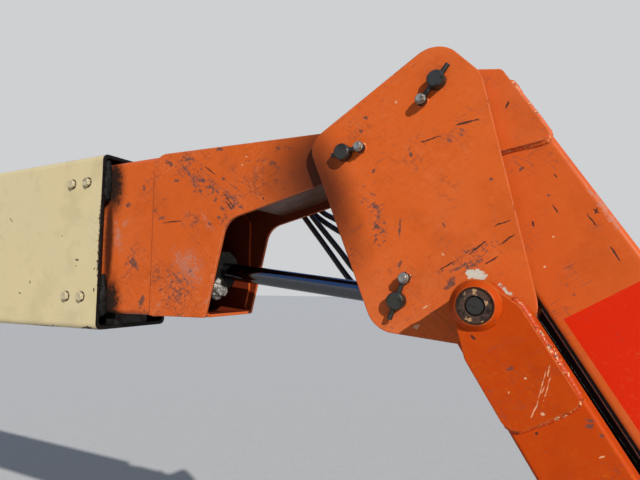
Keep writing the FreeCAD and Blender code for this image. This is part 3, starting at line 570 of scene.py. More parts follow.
@dataclass(frozen=True)
class Grease(Finish):
    """Grease, nylon and gloss black: dark or grey, wet in places, with dust.

    Args:
        dust: Tone of the dust.
        dusty: Level of noise above which dust lies.
        rough: Roughness where it is wet.
        lump: Height of its lumps.
        gloss: Specular level.
    """

    dust: Colour
    dusty: float = 0.55
    rough: float = 0.35
    lump: float = 0.002
    gloss: float = 0.30

    def shade(self, graph: Graph) -> tuple[Input, ...]:
        """Mixes colour, roughness and bumps."""
        dust = graph.band(graph.noise(90.0, 6.0, 0.7), self.dusty, self.dusty + 0.12)
        rough = graph.plus(graph.band(graph.noise(35.0, 3.0, 0.6), 0.40, 0.65, 0.35), self.rough)
        normal = graph.bump(graph.noise(130.0, 5.0, 0.6), 0.5, self.lump)
        return graph.blend(dust, self.colour, self.dust), rough, normal, self.gloss


@dataclass(frozen=True)
class HoseCover(Finish):
    """Ribbed rubber cover: fine rings along the hose, read from its UV map."""

    name: str = "ribbed_rubber"
    colour: Colour = (0.012, 0.012, 0.012)
    dust: Colour = (0.075, 0.072, 0.066)
    rings: float = 900.0

    def shade(self, graph: Graph) -> tuple[Input, ...]:
        """Mixes colour, roughness and bumps."""
        along = graph.split(graph.add("UVMap", uv_map="along").outputs[0])[0]
        ring = graph.math("SINE", graph.times(along, self.rings * 2 * math.pi))
        dust = graph.band(graph.noise(80.0, 5.0, 0.7), 0.52, 0.72, 0.5)
        colour = graph.blend(dust, self.colour, self.dust)
        return colour, graph.plus(dust, 0.38), graph.bump(ring, 0.25, 0.0004)


@dataclass(frozen=True)
class Ground(Finish):
    """The floor's even grey, with a little grain."""

    grain: Colour = (0.64, 0.65, 0.66)

    def shade(self, graph: Graph) -> tuple[Input, ...]:
        """Mixes the two greys."""
        return graph.blend(graph.band(graph.noise(30.0, 5.0, 0.6), 0.3, 0.7), self.colour, self.grain), 0.8


def put(name: str, data: bpy.types.ID) -> bpy.types.Object:
    """Links an object with its data to the scene, at the origin."""
    thing = bpy.data.objects.new(name, data)
    bpy.context.scene.collection.objects.link(thing)
    return thing


def read(items: Sequence[bpy.types.bpy_struct], name: str, width: int, kind: type = np.float32) -> Array:
    """One property of all items, a row of values for each."""
    values = np.empty(len(items) * width, kind)
    items.foreach_get(name, values)
    return values.reshape(-1, width)


class Mesh:
    """Points and faces of one piece, gathered from grids."""

    def __init__(self) -> None:
        """Starts with nothing."""
        self.points: list[Array] = []
        self.faces: list[list[int]] = []
        self.count = 0

    def grid(self, points: Array, closed: bool = False, caps: tuple[bool, bool] = (True, True)) -> None:
        """Adds rings of points joined by quads that face the way of columns crossed with rows.

        Args:
            points: Rings by points of a ring by 3.
            closed: The last ring joins the first.
            caps: Close the first and the last ring with a fan to its middle.
        """
        rows, columns, _ = points.shape
        index = np.arange(rows * columns).reshape(rows, columns) + self.count
        down = np.roll(index, -1, 0) if closed else index[1:]
        upper = index if closed else index[:-1]
        quads = np.stack([upper, np.roll(upper, -1, 1), np.roll(down, -1, 1), down], -1)
        self.faces += quads.reshape(-1, 4).tolist()
        self.points.append(points.reshape(-1, 3))
        self.count += rows * columns
        for row, wanted in zip((0, rows - 1), caps):
            if wanted and not closed:
                self.fan(index[row], points[row].mean(0), row == 0)

    def fan(self, ring: Array, middle: Array, flip: bool) -> None:
        """Closes a ring of points with triangles to a middle point."""
        following = np.roll(ring, -1)
        first, second = (following, ring) if flip else (ring, following)
        self.faces += np.stack([first, second, np.full(len(ring), self.count)], -1).tolist()
        self.points.append(middle[None])
        self.count += 1

    def build(self, name: str, finish: Finish, sharp: float | None = None) -> bpy.types.Object:
        """Makes the object.

        Args:
            name: Name of the piece.
            finish: Its finish.
            sharp: Degrees above which an edge stays sharp, or None for all smooth.

        Returns:
            The linked object, at the origin.
        """
        data = bpy.data.meshes.new(name)
        data.from_pydata(np.concatenate(self.points).tolist(), [], self.faces)
        data.polygons.foreach_set("use_smooth", np.ones(len(data.polygons), bool))
        if sharp is not None:
            data.set_sharp_from_angle(angle=math.radians(sharp))
        data.materials.append(finish.made())
        data.update()
        return put(name, data)

    def settle(self, name: str, finish: Finish, body: str, slot: str, sharp: float | None = None) -> None:
        """Makes the object and lets it ride on a body."""
        piece = self.build(name, finish, sharp)
        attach(piece, body)
        LOG.info("%s rides on %s", name, body)


def unit(vectors: Array) -> Array:
    """Vectors at length 1."""
    return vectors / (np.linalg.norm(vectors, axis=-1, keepdims=True) + 1e-12)


def lathe(place: Row, axis: Row, profile: Sequence[Place],
          radius: Callable[[Array], Array] = np.ones_like, steps: int = 36) -> Array:
    """Rings of a profile carried round an axis.

    Each point lies at its height along the axis and at its radius across it. A function of the angle may
    draw the radius in, which makes a round profile many sided.

    Args:
        place: Foot of the axis.
        axis: Direction of the axis.
        profile: Radius and height of each ring, from the foot up.
        radius: Share of the radius at each angle.
        steps: Points round a ring.
    """
    ahead = unit(np.asarray(axis, float))
    guide = np.array((1.0, 0.0, 0.0) if abs(ahead[2]) > 0.95 else (0.0, 0.0, 1.0))
    across = unit(np.cross(guide, ahead))
    angle = np.arange(steps) * 2 * np.pi / steps
    rings = np.array(profile)
    reach = rings[:, :1] * radius(angle)
    round_it = np.cos(angle)[:, None] * across + np.sin(angle)[:, None] * np.cross(ahead, across)
    return np.asarray(place) + reach[..., None] * round_it + rings[:, 1, None, None] * ahead


def six_sided(angle: Array) -> Array:
    """Share of a hexagon's corner radius at an angle: cos 30 over the cosine from the nearest flat."""
    from_flat = (angle + np.pi / 6) % (np.pi / 3) - np.pi / 6
    return math.cos(math.pi / 6) / np.cos(from_flat)


def hex_head(mesh: Mesh, place: Row, axis: Row, corner: float, height: float,
             washer: float = 0.0) -> None:
    """Adds a hexagon head with a turned crown, on a washer if one is asked for.

    Args:
        mesh: Where it goes.
        place: Middle of its seat.
        axis: Way that it points.
        corner: Radius at the corners.
        height: Height of the head.
        washer: Radius of the washer.
    """
    seat = 0.16 * height if washer else 0.0
    if washer:
        rim = [(washer, 0.0), (washer, 0.8 * seat), (washer - 0.2 * seat, seat), (0.3 * corner, seat)]
        mesh.grid(lathe(place, axis, rim))
    flat = [(corner, seat), (corner, 0.80 * height), (0.97 * corner, 0.88 * height)]
    mesh.grid(lathe(place, axis, flat, six_sided), caps=(True, False))
    crown = [(0.866 * 0.97 * corner, 0.88 * height), (0.80 * corner, height), (0.66 * corner, height),
             (0.60 * corner, 0.97 * height)]
    mesh.grid(lathe(place, axis, crown), caps=(False, True))
    shoulder = np.stack([lathe(place, axis, flat[-1:], six_sided)[0], lathe(place, axis, crown[:1])[0]])
    mesh.grid(shoulder, caps=(False, False))


def resampled(points: Array, pitch: float, closed: bool) -> Array:
    """Points spaced evenly along a polyline."""
    if closed:
        points = np.concatenate([points, points[:1]])
    steps = np.linalg.norm(np.diff(points, axis=0), axis=1)
    reach = np.concatenate([[0.0], np.cumsum(steps)])
    count = max(4, round(reach[-1] / pitch))
    at = np.linspace(0.0, reach[-1], count + 1)
    if closed:
        at = at[:-1]
    return np.stack([np.interp(at, reach, points[:, i]) for i in range(3)], -1)


def circle(place: Row, radius: float, count: int) -> Array:
    """Points round an axis along Y, without the first one again."""
    return lathe(place, (0, 1, 0), [(radius, 0.0)], steps=count)[0]


def face_loops(node: str, axis: int, level: float) -> list[Array]:
    """Outlines of a node's flat faces that lie at one level along one axis.

    Args:
        node: Name of the CAD node.
        axis: 0, 1 or 2 for X, Y or Z.
        level: Place of the faces along that axis.

    Returns:
        Each closed outline's points in order.
    """
    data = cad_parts[node].data
    points = read(data.vertices, "co", 3).astype(float)
    data.calc_loop_triangles()
    corners = read(data.loop_triangles, "vertices", 3, np.int32)
    flat = np.all(np.abs(points[corners][:, :, axis] - level) < 1e-5, axis=1)
    _, merged, index = np.unique(np.round(points, 5), axis=0, return_index=True, return_inverse=True)
    triangles = index.reshape(-1)[corners[flat]]
    edges = np.concatenate([triangles[:, [0, 1]], triangles[:, [1, 2]], triangles[:, [2, 0]]])
    ways = {tuple(edge) for edge in edges.tolist()}
    following = {a: b for a, b in ways if (b, a) not in ways}
    loops = []
    while following:
        start = next(iter(following))
        chain = [start]
        while following[chain[-1]] != start:
            chain.append(following.pop(chain[-1]))
        following.pop(chain[-1])
        loops.append(points[merged[chain]])
    return loops


def rings_along(points: Array, size: Array | float, side: Row, count: int, closed: bool) -> Array:
    """Round section carried along a path.

    Each ring is its middle plus the size times the cosine and sine of the angle along two unit vectors
    across the path.

    Args:
        points: Middles of the rings.
        size: Radius of each ring.
        side: A direction across the path.
        count: Points round a ring.
        closed: The path is a loop.
    """
    if closed:
        ahead = unit(np.roll(points, -1, 0) - np.roll(points, 1, 0))
    else:
        ahead = unit(np.gradient(points, axis=0))
    side = np.asarray(side, float)
    first = unit(side - (ahead @ side)[:, None] * ahead)
    second = np.cross(ahead, first)
    angle = np.arange(count) * 2 * np.pi / count
    round_it = np.cos(angle)[:, None] * first[:, None] + np.sin(angle)[:, None] * second[:, None]
    return points[:, None] + np.broadcast_to(size, len(points))[:, None, None] * round_it


def bead(mesh: Mesh, path: Array, side: Row, radius: float, closed: bool, seed: int) -> None:
    """Adds a weld bead: a round section carried along a path, swelling with each drop of weld metal.

    The radius is the plain radius times one plus a share of the wave that repeats every 5 mm, and a slow
    random swell.

    Args:
        mesh: Where it goes.
        path: Points along the joint.
        side: A direction across the path.
        radius: Plain radius.
        closed: The path is a loop.
        seed: Seed of the swell.
    """
    points = resampled(path, BEAD_PITCH, closed)
    count = len(points)
    drops = max(4, count // 9)
    swells = np.random.default_rng(seed).uniform(-0.25, 0.25, drops + 1)
    if closed:
        swells[-1] = swells[0]
    swell = np.interp(np.arange(count), np.linspace(0, count, drops + 1), swells)
    wave = np.abs(np.sin(np.pi * np.arange(count) * BEAD_PITCH / BEAD_DROP))
    size = radius * (0.92 + 0.16 * wave + swell)
    if not closed:
        end = np.minimum(np.arange(count), np.arange(count)[::-1])
        size = size * np.sqrt(np.clip((end + 0.4) / 3.0, 0.0, 1.0))
    mesh.grid(rings_along(points, size, side, 8, closed), closed)


def stretches(path: Array, keep: Array) -> list[Array]:
    """The stretches of a closed path that are kept, each as its own points."""
    if keep.all():
        return [path]
    start = int(np.argmin(keep))
    path, keep = np.roll(path, -start, 0), np.roll(keep, -start)
    cuts = np.flatnonzero(np.diff(keep.astype(int))) + 1
    parts = zip(np.split(path, cuts), np.split(keep, cuts))
    return [part for part, kept in parts if kept[0] and len(part) > 3]


def weld_sides(mesh: Mesh, node: str, half: float, keep: Callable[[Array], Array], radius: float) -> None:
    """Adds beads round the plates of both sides, where their outlines lie on what carries them.

    Args:
        mesh: Where they go.
        node: Name of the plates, with braces where their side is named.
        half: Distance of the welded faces from the middle plane.
        keep: Says for each point of an outline whether it is welded.
        radius: Radius of the bead.
    """
    for side in Side:
        loops = face_loops(node.format(side.name.lower()), 1, side.value * half)
        for number, loop in enumerate(loops):
            path = resampled(loop, 0.003, True)
            kept = keep(path)
            for part in stretches(path, kept):
                bead(mesh, part, (0, 1, 0), radius, bool(kept.all()), 11 * number + len(part))


def lumps(mesh: Mesh, middle: Row, half: Row, seed: int) -> None:
    """Adds a lump of grease: an ellipsoid whose radius is swollen by a few random waves.

    Each point of a sphere's grid is pushed out by the sum of sines of its place along random directions.

    Args:
        mesh: Where it goes.
        middle: Its middle.
        half: Half its size along X, Y and Z.
        seed: Seed of the waves.
    """
    draw = np.random.default_rng(seed)
    turn = np.linspace(0.04, np.pi - 0.04, 14)[:, None]
    angle = np.arange(20) * np.pi / 10
    parts = (np.sin(turn) * np.cos(angle), np.sin(turn) * np.sin(angle), -np.cos(turn))
    ball = np.stack(np.broadcast_arrays(*parts), -1)
    swell = np.zeros(ball.shape[:2])
    for size in (2.0, 3.5, 6.0, 9.0):
        way = draw.normal(size=3)
        swell += np.sin(size * (ball @ way) + draw.uniform(0, 6.28)) / size
    mesh.grid(np.asarray(middle) + ball * (1 + LUMP_SWELL * swell)[..., None] * np.asarray(half))


@dataclass
class Studio:
    """Camera, lamps and floor."""

    eye: tuple[float, ...] = (4.2016, -0.80304, 0.0070)
    right: tuple[float, ...] = (0.8920, 0.4520, 0.0034)
    up: tuple[float, ...] = (0.0392, -0.0847, 0.9956)
    lens: float = 26.52
    sensor: float = 36.0
    sun_from: tuple[float, ...] = (0.67, -0.58, 0.46)
    sun_strength: float = 3.8
    sun_size: float = 0.7
    fill: float = 0.19
    floor_z: float = -1.75
    floor_half: float = 60.0
    backdrop: Colour = (0.62, 0.63, 0.64)
    sky: Colour = (0.18, 0.38, 0.95)

    def camera(self) -> None:
        """Camera with the photograph's view."""
        data = bpy.data.cameras.new("camera")
        data.lens = self.lens
        data.sensor_width = self.sensor
        data.clip_start = 0.01
        camera = put("camera", data)
        right = Vector(self.right).normalized()
        back = right.cross(Vector(self.up)).normalized()
        axes = Matrix((right, back.cross(right), back)).transposed().to_4x4()
        camera.matrix_world = Matrix.Translation(self.eye) @ axes
        bpy.context.scene.camera = camera

    def key(self) -> None:
        """A key lamp like the low sun of the photograph."""
        data = bpy.data.lights.new("key", "SUN")
        data.energy = self.sun_strength
        data.angle = math.radians(self.sun_size)
        data.color = (1.0, 0.96, 0.90)
        key = put("key", data)
        key.rotation_mode = "QUATERNION"
        key.rotation_quaternion = Vector(self.sun_from).to_track_quat("Z", "Y")

    def world(self) -> None:
        """An even light at the fill level. Camera and gloss see a pale backdrop, and gloss a sky over it."""
        world = bpy.data.worlds.new("world")
        world.use_nodes = True
        graph = Graph(world.node_tree, "Generated")
        light = world.node_tree.nodes["Background"]
        graph.wire((0.86, 0.93, 1.0), light.inputs["Color"])
        graph.wire(self.fill, light.inputs["Strength"])
        rays = graph.add("LightPath").outputs
        height = graph.band(graph.split(graph.place)[2], 0.25, 0.55)
        tone = graph.blend(graph.times(height, rays["Is Glossy Ray"]), self.backdrop, self.sky)
        seen = graph.add("Background", {"Color": tone})
        share = rays["Is Camera Ray"]
        for name in ("Is Glossy Ray", "Is Transmission Ray"):
            share = graph.most(share, rays[name])
        mix = graph.add("MixShader", {0: share, 1: light.outputs[0], 2: seen.outputs[0]})
        graph.wire(mix.outputs[0], world.node_tree.nodes["World Output"].inputs["Surface"])
        bpy.context.scene.world = world

    def floor(self) -> None:
        """A plain pale floor."""
        corners = self.floor_half * np.array([(-1, -1), (1, -1), (1, 1), (-1, 1)])
        data = bpy.data.meshes.new("floor")
        data.from_pydata(np.column_stack([corners, np.full(4, self.floor_z)]).tolist(), [], [[0, 1, 2, 3]])
        data.materials.append(Ground("floor", (0.60, 0.61, 0.62)).made())
        put("floor", data)

    def build(self) -> None:
        """Sets the stage up."""
        self.camera()
        self.key()
        self.world()
        self.floor()
        bpy.context.scene.view_settings.view_transform = "Standard"


def marks(kind: WearAndShade, *rows: tuple[float, ...]) -> tuple[Mark, ...]:
    """Marks of one kind, each from its x, z, half length and half width in millimetres, and its angle."""
    return tuple(Mark(kind, *(size / 1000 for size in row[:4]), *row[4:]) for row in rows)


BASE_MARKS = (
    *marks(WearAndShade.SOOT, (3299, 100, 215, 7, 90), (3270, -92, 85, 7, 2), (3120, -93, 110, 4, 2)),
    *marks(WearAndShade.SCRATCH, (3228, 60, 8, 4, -15), (3226, 46, 4, 3), (2967, 166, 18, 2, -38), (3060, 10, 4, 6),
           (3023, -17, 9, 3), (3171, 117, 3, 3), (3288, 40, 6, 3, 60), (3289, -7, 9, 4, 80)),
)
FLY_MARKS = (
    # Soft darkening next to the base's mouth, with a long thin strip of it along the mouth's rim.
    *marks(WearAndShade.DUSK, (3298, 226, 95, 56, 92), (3300, -36, 85, 54, 88), (3296, 100, 200, 20, 90)),
    *marks(WearAndShade.SOOT, (3304, 232, 100, 62, 92), (3306, -34, 90, 58, 88)),
    *marks(WearAndShade.RUB, (3326, 110, 90, 28, -76), (3348, 140, 34, 18, 30)),
    *marks(WearAndShade.WORN, (3370, 60, 110, 45, 80)),
    *marks(WearAndShade.SCUFF, (3400, 215, 14, 8, -64), (3380, 50, 40, 16, -50), (3352, 180, 16, 10, 20),
           (3405, -30, 30, 14, 60)),
)
GOOSE_MARKS = (
    # Painted shadow over the front end, beside the knuckle plate.
    *marks(WearAndShade.DUSK, (3905, 205, 245, 160, 4)),
    *marks(WearAndShade.WORN, (3560, 215, 165, 70, -33), (3520, 245, 100, 50, -20), (3510, 0, 110, 100, 20),
           (3640, 165, 70, 40, -35)),
    *marks(WearAndShade.RUB, (3586, 128, 49, 16, -48), (3540, 40, 110, 70, -38), (3586, -27, 25, 9, 51),
           (3462, -37, 24, 9, 33)),
    *marks(WearAndShade.SCUFF, (3480, 259, 28, 10, -34), (3533, 262, 33, 11, -21), (3623, 212, 12, 7, -25),
           (3571, 212, 24, 9, -4), (3585, 199, 25, 9, -18), (3552, 193, 12, 7, -88), (3604, 172, 12, 7, 72),
           (3567, 192, 15, 8, -33), (3668, 152, 15, 7, -30), (3622, 152, 14, 7, -32), (3464, 144, 23, 8, 2),
           (3502, 220, 17, 8, -10), (3591, 125, 11, 7, -24), (3612, 272, 18, 7, 1)),
    *marks(WearAndShade.SCRATCH, (3588, 232, 30, 2, -36), (3636, 169, 36, 2, -50), (3635, 160, 22, 2, -46),
           (3491, 134, 49, 2, 2), (3716, 165, 5, 3, -42)),
    *marks(WearAndShade.CHIP, (3677, 249, 5, 4), (3667, 234, 4, 4)),
)
KNUCKLE_MARKS = (
    # Painted shade down the plate's left edge.
    *marks(WearAndShade.SHADE, (3850, 170, 215, 70, -68)),
    *marks(WearAndShade.WORN, (3946, 110, 110, 36, -72), (4085, 40, 100, 40, 35), (4070, 230, 50, 20, 25)),
    *marks(WearAndShade.SCRATCH, (4089, 247, 27, 3, 5), (4033, 229, 29, 2, 10), (4133, 94, 18, 2, 19),
           (4138, 70, 18, 2, 35), (4116, 41, 20, 2, 32), (4054, 35, 23, 2, 29), (4098, 60, 26, 2, 38)),
    *marks(WearAndShade.SCUFF, (4149, 142, 125, 4, -78), (4002, 211, 13, 6, -74), (3927, 279, 13, 7, -27),
           (3918, 259, 11, 6, -30), (3940, 189, 11, 6, 73), (3942, 132, 9, 5, 73), (3942, 97, 14, 6, 30),
           (3943, 78, 12, 5, 65), (3983, 93, 33, 4, 89), (3983, 39, 13, 5, 71), (4051, 96, 8, 4, -51),
           (4119, 159, 8, 5, -35), (4059, 9, 26, 9, 49)),
    *marks(WearAndShade.CHIP, (4008, -56, 10, 5, 6), (4048, 52, 8, 4, -43), (3980, 298, 6, 4, 89),
           (4022, -26, 13, 4, 27)),
    *marks(WearAndShade.FLAKE, (4093, 21, 17, 6, -3), (4133, -1, 10, 4, -37)),
)
JIB_MARKS = (
    *marks(WearAndShade.PATCH, (4418, -304, 336, 53, -60)),
    *marks(WearAndShade.RUB, (4258, 111, 69, 12, -59)),
    *marks(WearAndShade.SCRATCH, (4143, 271, 9, 3, 68), (4202, 160, 6, 2, -52), (4249, 107, 7, 2, -39),
           (4249, 107, 7, 2, 68), (4243, 95, 15, 2, -58), (4268, 49, 22, 2, -62), (4171, 93, 8, 3, -78),
           (4200, 113, 13, 2, -59)),
    *marks(WearAndShade.SCUFF, (4158, 174, 8, 5, 24), (4192, 133, 4, 4)),
    *marks(WearAndShade.CHIP, (4196, 74, 4, 3), (4184, 33, 4, 3)),
)
EAR_MARKS = (
    *marks(WearAndShade.SCORE, (4186, -92, 12, 1.5, 76), (4179, -114, 11, 1.5, 68), (4169, -139, 16, 1.5, 68),
           (4178, -110, 37, 1.3, 75), (4184, -111, 29, 1.3, 73)),
    *marks(WearAndShade.SCUFF, (4144, -94, 8, 4, 31)),
    *marks(WearAndShade.CHIP, (4142, -121, 4, 4), (4161, -102, 3, 3), (4178, -141, 4, 3)),
    *marks(WearAndShade.SCRATCH, (4103, -58, 6, 3, -37)),
)
LINK_MARKS = (
    *marks(WearAndShade.SCUFF, (4225, -145, 10, 4, -6), (4224, -152, 8, 4, 8), (4237, -160, 5, 3, -46)),
    *marks(WearAndShade.SCRATCH, (4170, -167, 4, 3), (4109, -105, 4, 3, -56), (4123, -133, 6, 3, -51),
           (4141, -158, 6, 3, -43)),
    *marks(WearAndShade.SCORE, (4236, -183, 7, 2, 25)),
)

ORANGE: Colour = (0.62, 0.108, 0.012)
LINK_ORANGE: Colour = (0.49, 0.050, 0.0005)
# Lighter tone of the links' edges: paint wear, and a painted highlight.
LINK_EDGE_WEAR_AND_HIGHLIGHT: Colour = (0.66, 0.24, 0.06)

# The box's inside is near black: painted shade in its hollow, and grease on the mouth's end face.
CREAM_PAINT = Paint("cream_paint", (0.645, 0.54, 0.315), (0.60, 0.53, 0.36), (0.26, 0.21, 0.14), fade=0.4,
                    hairlines=0.22, scuffs=0.76, streaked=0.06, streak=(0.30, 0.24, 0.14), edge=0.85,
                    marks=BASE_MARKS, grime_and_shade=(0.007, 0.006, 0.005),
                    masks=(hollow(0.092, -0.086, 0.290, 3.300),))
# The inside of the box is dark: painted shade, with grease.
FLY_PAINT = Paint("fly_paint", (0.61, 0.105, 0.014), streaked=0.6, marks=FLY_MARKS,
                  grime_and_shade=(0.13, 0.018, 0.006), masks=(hollow(0.066, -0.053, 0.275, 9.0),))
# The plates' inner faces in the throat are dark: painted shade, with grease.
GOOSE_PAINT = Paint("gooseneck_paint", (0.59, 0.102, 0.014), hairlines=1.0, scuffs=0.58, streaked=1.0,
                    marks=GOOSE_MARKS, grime_and_shade=(0.13, 0.020, 0.006), masks=(inner_faces(0.0735),))
COVER_PAINT = Paint("cover_paint", ORANGE)
# The nose's underside, facing down, is the paint darkened to brown: painted shade.
NOSE_SHADE_PAINT = Paint("nose_underside_paint", (0.120, 0.048, 0.028), (0.17, 0.10, 0.07), (0.30, 0.20, 0.14),
                   scuffs=0.5, streaked=0.8, rough=0.30, gloss=0.15)
KNUCKLE_PAINT = Paint("knuckle_paint", (0.645, 0.113, 0.017), streaked=0.5, edge=0.5, marks=KNUCKLE_MARKS)
# The underside and the lower bend of the box are black: painted shade.
JIB_PAINT = Paint("jib_paint", (0.60, 0.100, 0.014), streaked=0.3, marks=JIB_MARKS,
                  masks=(underside(JIB, -0.0535),))
# The inner faces of the links and ears, towards the cylinder, are black: painted shade.
LINK_PAINT = Paint("link_paint", LINK_ORANGE, (0.58, 0.13, 0.01), LINK_EDGE_WEAR_AND_HIGHLIGHT, hairlines=0.3, scuffs=0.68,
                   streaked=0.6, marks=LINK_MARKS, masks=(inner_faces(0.1055),))
EAR_PAINT = replace(LINK_PAINT, name="ear_paint", streaked=0.5, marks=EAR_MARKS)
COLLAR_PAINT = Paint("collar_paint", LINK_ORANGE, (0.56, 0.10, 0.01), LINK_EDGE_WEAR_AND_HIGHLIGHT, hairlines=0.2,
                     grime_and_shade=(0.050, 0.019, 0.010), masks=(bore_rims(LINK, 0.0232),))
BLACK_PAINT = Paint("black_paint", (0.009, 0.009, 0.009), (0.020, 0.020, 0.019), (0.07, 0.07, 0.07),
                    scuffs=0.72, streaked=0.1, rough=0.35, gloss=0.25)
WELD_PAINT = Weld("weld_paint", ORANGE)
LINK_WELD_PAINT = Weld("link_weld_paint", LINK_ORANGE)
BOLT_CREAM = Metal("bolt_cream", (0.55, 0.47, 0.30), (0.12, 0.095, 0.06), 0.56, 0.35, 0.2)
CHROME = Metal("chrome_rod", (0.105, 0.112, 0.125), (0.06, 0.06, 0.05), 0.66, 0.08, 1.0, 0.03)
PIN_STEEL = Metal("pin_steel", (0.058, 0.056, 0.045), (0.024, 0.021, 0.016), 0.48, 0.40, 0.7, 0.5)
DARK_PIN = Metal("dark_pin_steel", (0.040, 0.038, 0.034), (0.014, 0.012, 0.010), 0.46, 0.55, 0.6, 0.9)
BOLT_STEEL = Metal("bolt_steel", (0.34, 0.32, 0.27), (0.11, 0.085, 0.06), 0.52, 0.40, 0.8)
RUST = Metal("rusty_steel", (0.070, 0.033, 0.019), (0.014, 0.010, 0.008), 0.45, 0.70, 0.2, 1.0,
             flecked=0.60)
GLOSS_BLACK = Grease("gloss_black", (0.008, 0.008, 0.008), (0.03, 0.03, 0.03), 0.70, 0.08, 0.0001, 0.8)
PAD = Grease("wear_pad", (0.012, 0.012, 0.011), (0.10, 0.095, 0.08), 0.60)
BLACK_GREASE = Grease("black_grease", (0.006, 0.006, 0.005), (0.030, 0.024, 0.018), 0.56, 0.50, 0.008, 0.2)
PALE_GREASE = Grease("pale_grease", (0.13, 0.12, 0.105), (0.42, 0.41, 0.37), 0.47, 0.15, 0.004, 0.8)
HOSE_COVER = HoseCover()


class Group:
    """A sub-assembly: CAD nodes with their finishes, and the pieces that are added to them."""

    nodes: ClassVar[dict[Finish, str]]

    def pieces(self) -> None:
        """Adds the sub-assembly's own pieces."""

    def build(self) -> None:
        """Dresses the nodes, then adds the pieces."""
        for finish, names in self.nodes.items():
            for name in names.split():
                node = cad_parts[name]
                if not node.material_slots:
                    node.data.materials.append(finish.made())
                for place in node.material_slots:
                    place.material = finish.made()
        self.pieces()


@dataclass
class BaseBoom(Group):
    """The outer box: its cream paint, pad bolts, pivot welds, and the greasy mouth."""

    nodes = {CREAM_PAINT: "base_boom pivot_tube pivot_doublers lift_cylinder_lugs",
             PAD: "mouth_wear_pads fly_wear_pads"}
    half_width: float = 0.100
    bottom: float = -0.094
    mouth: float = 3.300
    pad_half: float = 0.038
    pads: tuple[float, ...] = (0.236, -0.022)
    bolts: tuple[Place, ...] = ((3.2006, 0.2358), (3.2527, 0.2356), (3.1968, -0.0218), (3.2483, -0.0221))
    corner: float = 0.0105
    height: float = 0.008
    tube: float = 0.053
    doubler: float = 0.092
    doubler_thick: float = 0.012
    weld: float = 0.004
    seat: float = 0.0118
    grease_in: float = 0.004
    grease_y: float = 0.083

    def pad_bolts(self) -> None:
        """Bolts of the side pads on both walls, each on a thin black ring, wider than its head, that the
        wall
        carries: a painted shadow round the head.
        """
        mesh, shade_rings = Mesh(), Mesh()
        for side in Side:
            for x, z in self.bolts:
                foot = (x, side.value * self.half_width, z)
                hex_head(mesh, foot, (0, side.value, 0), self.corner, self.height)
                # Black ring round each head: painted shadow.
                shade_rings.grid(lathe(foot, (0, side.value, 0), [(self.seat, -0.001), (self.seat, 0.0008)]))
        mesh.settle("pad_bolts", BOLT_CREAM, "base", "cream_paint", SHARP)
        shade_rings.settle("pad_bolt_shade_rings", BLACK_GREASE, "base", "cream_paint", SHARP)

    def welds(self) -> None:
        """Beads round the pivot's tube and doublers, and along the lugs under the boom."""
        mesh = Mesh()
        for side in Side:
            wall = side.value * self.half_width
            face = side.value * (self.half_width + self.doubler_thick)
            bead(mesh, circle((0, wall, 0), self.doubler, 180), (0, 1, 0), self.weld, True, 3)
            bead(mesh, circle((0, face, 0), self.tube, 120), (0, 1, 0), self.weld, True, 4)
        for number, loop in enumerate(face_loops("lift_cylinder_lugs", 2, self.bottom)):
            bead(mesh, loop, (0, 0, 1), self.weld, True, 20 + number)
        mesh.settle("base_welds", CREAM_PAINT, "base", "cream_paint")

    def grease(self) -> None:
        """Black grease that the fly has wiped off at the pads, on their ends inside the mouth."""
        mesh = Mesh()
        draw = np.random.default_rng(8)
        for side in Side:
            for z in self.pads:
                for number, step in enumerate((-0.7, 0.0, 0.7)):
                    height = z + step * self.pad_half
                    place = (self.mouth - self.grease_in, side.value * self.grease_y, height)
                    lumps(mesh, place, (draw.uniform(0.005, 0.009), 0.009, 0.021), 50 + number)
        mesh.settle("mouth_grease", BLACK_GREASE, "base", "wear_pad")

    def pieces(self) -> None:
        """Adds bolts, beads and grease."""
        self.pad_bolts()
        self.welds()
        self.grease()


@dataclass
class Fly(Group):
    """The inner box with the gooseneck at its front end."""

    nodes = {FLY_PAINT: "fly_boom", GOOSE_PAINT: "gooseneck_plate_near gooseneck_plate_far",
             COVER_PAINT: "gooseneck_cover nose_tube", NOSE_SHADE_PAINT: "gooseneck_underside",
             BLACK_PAINT: "gooseneck_port_block", PIN_STEEL: "level_anchor_pin"}
    half_width: float = 0.072
    welded_to: float = 3.4575
    weld: float = 0.0017

    def at_rear(self, path: Array) -> Array:
        """Whether points of a plate's outline lie on its rear edge."""
        return path[:, 0] < self.welded_to

    def pieces(self) -> None:
        """Welds the gooseneck's rear edge to the box."""
        mesh = Mesh()
        weld_sides(mesh, "gooseneck_plate_{}", self.half_width, self.at_rear, self.weld)
        mesh.settle("gooseneck_welds", WELD_PAINT, "fly", "orange_paint")


@dataclass
class LevelCylinder(Group):
    """The cylinder inside the fly that turns the knuckle, with old grease on the near side of its gland.

    The table gives each lump's place along and above the cylinder from its gland's end, and its size.
    """

    nodes = {BLACK_PAINT: "level_cylinder_barrel", BLACK_GREASE: "level_cylinder_gland",
             CHROME: "level_cylinder_rod"}
    gland_end: Lie = Lie(3.575, 0.033, -7.33)
    near: float = -0.026
    lump_rows: tuple[tuple[float, ...], ...] = (
        (-0.012, -0.036, 0.018), (0.006, -0.038, 0.016), (0.016, -0.041, 0.011), (0.000, -0.046, 0.013),
        (-0.004, -0.022, 0.011))

    def pieces(self) -> None:
        """Adds the grease."""
        mesh = Mesh()
        for number, (along, above, size) in enumerate(self.lump_rows):
            place = self.gland_end.at(along, above, self.near)
            lumps(mesh, place, (size, 0.7 * size, 0.8 * size), 70 + number)
        mesh.settle("gland_grease", PALE_GREASE, "level_barrel", "wear_pad")


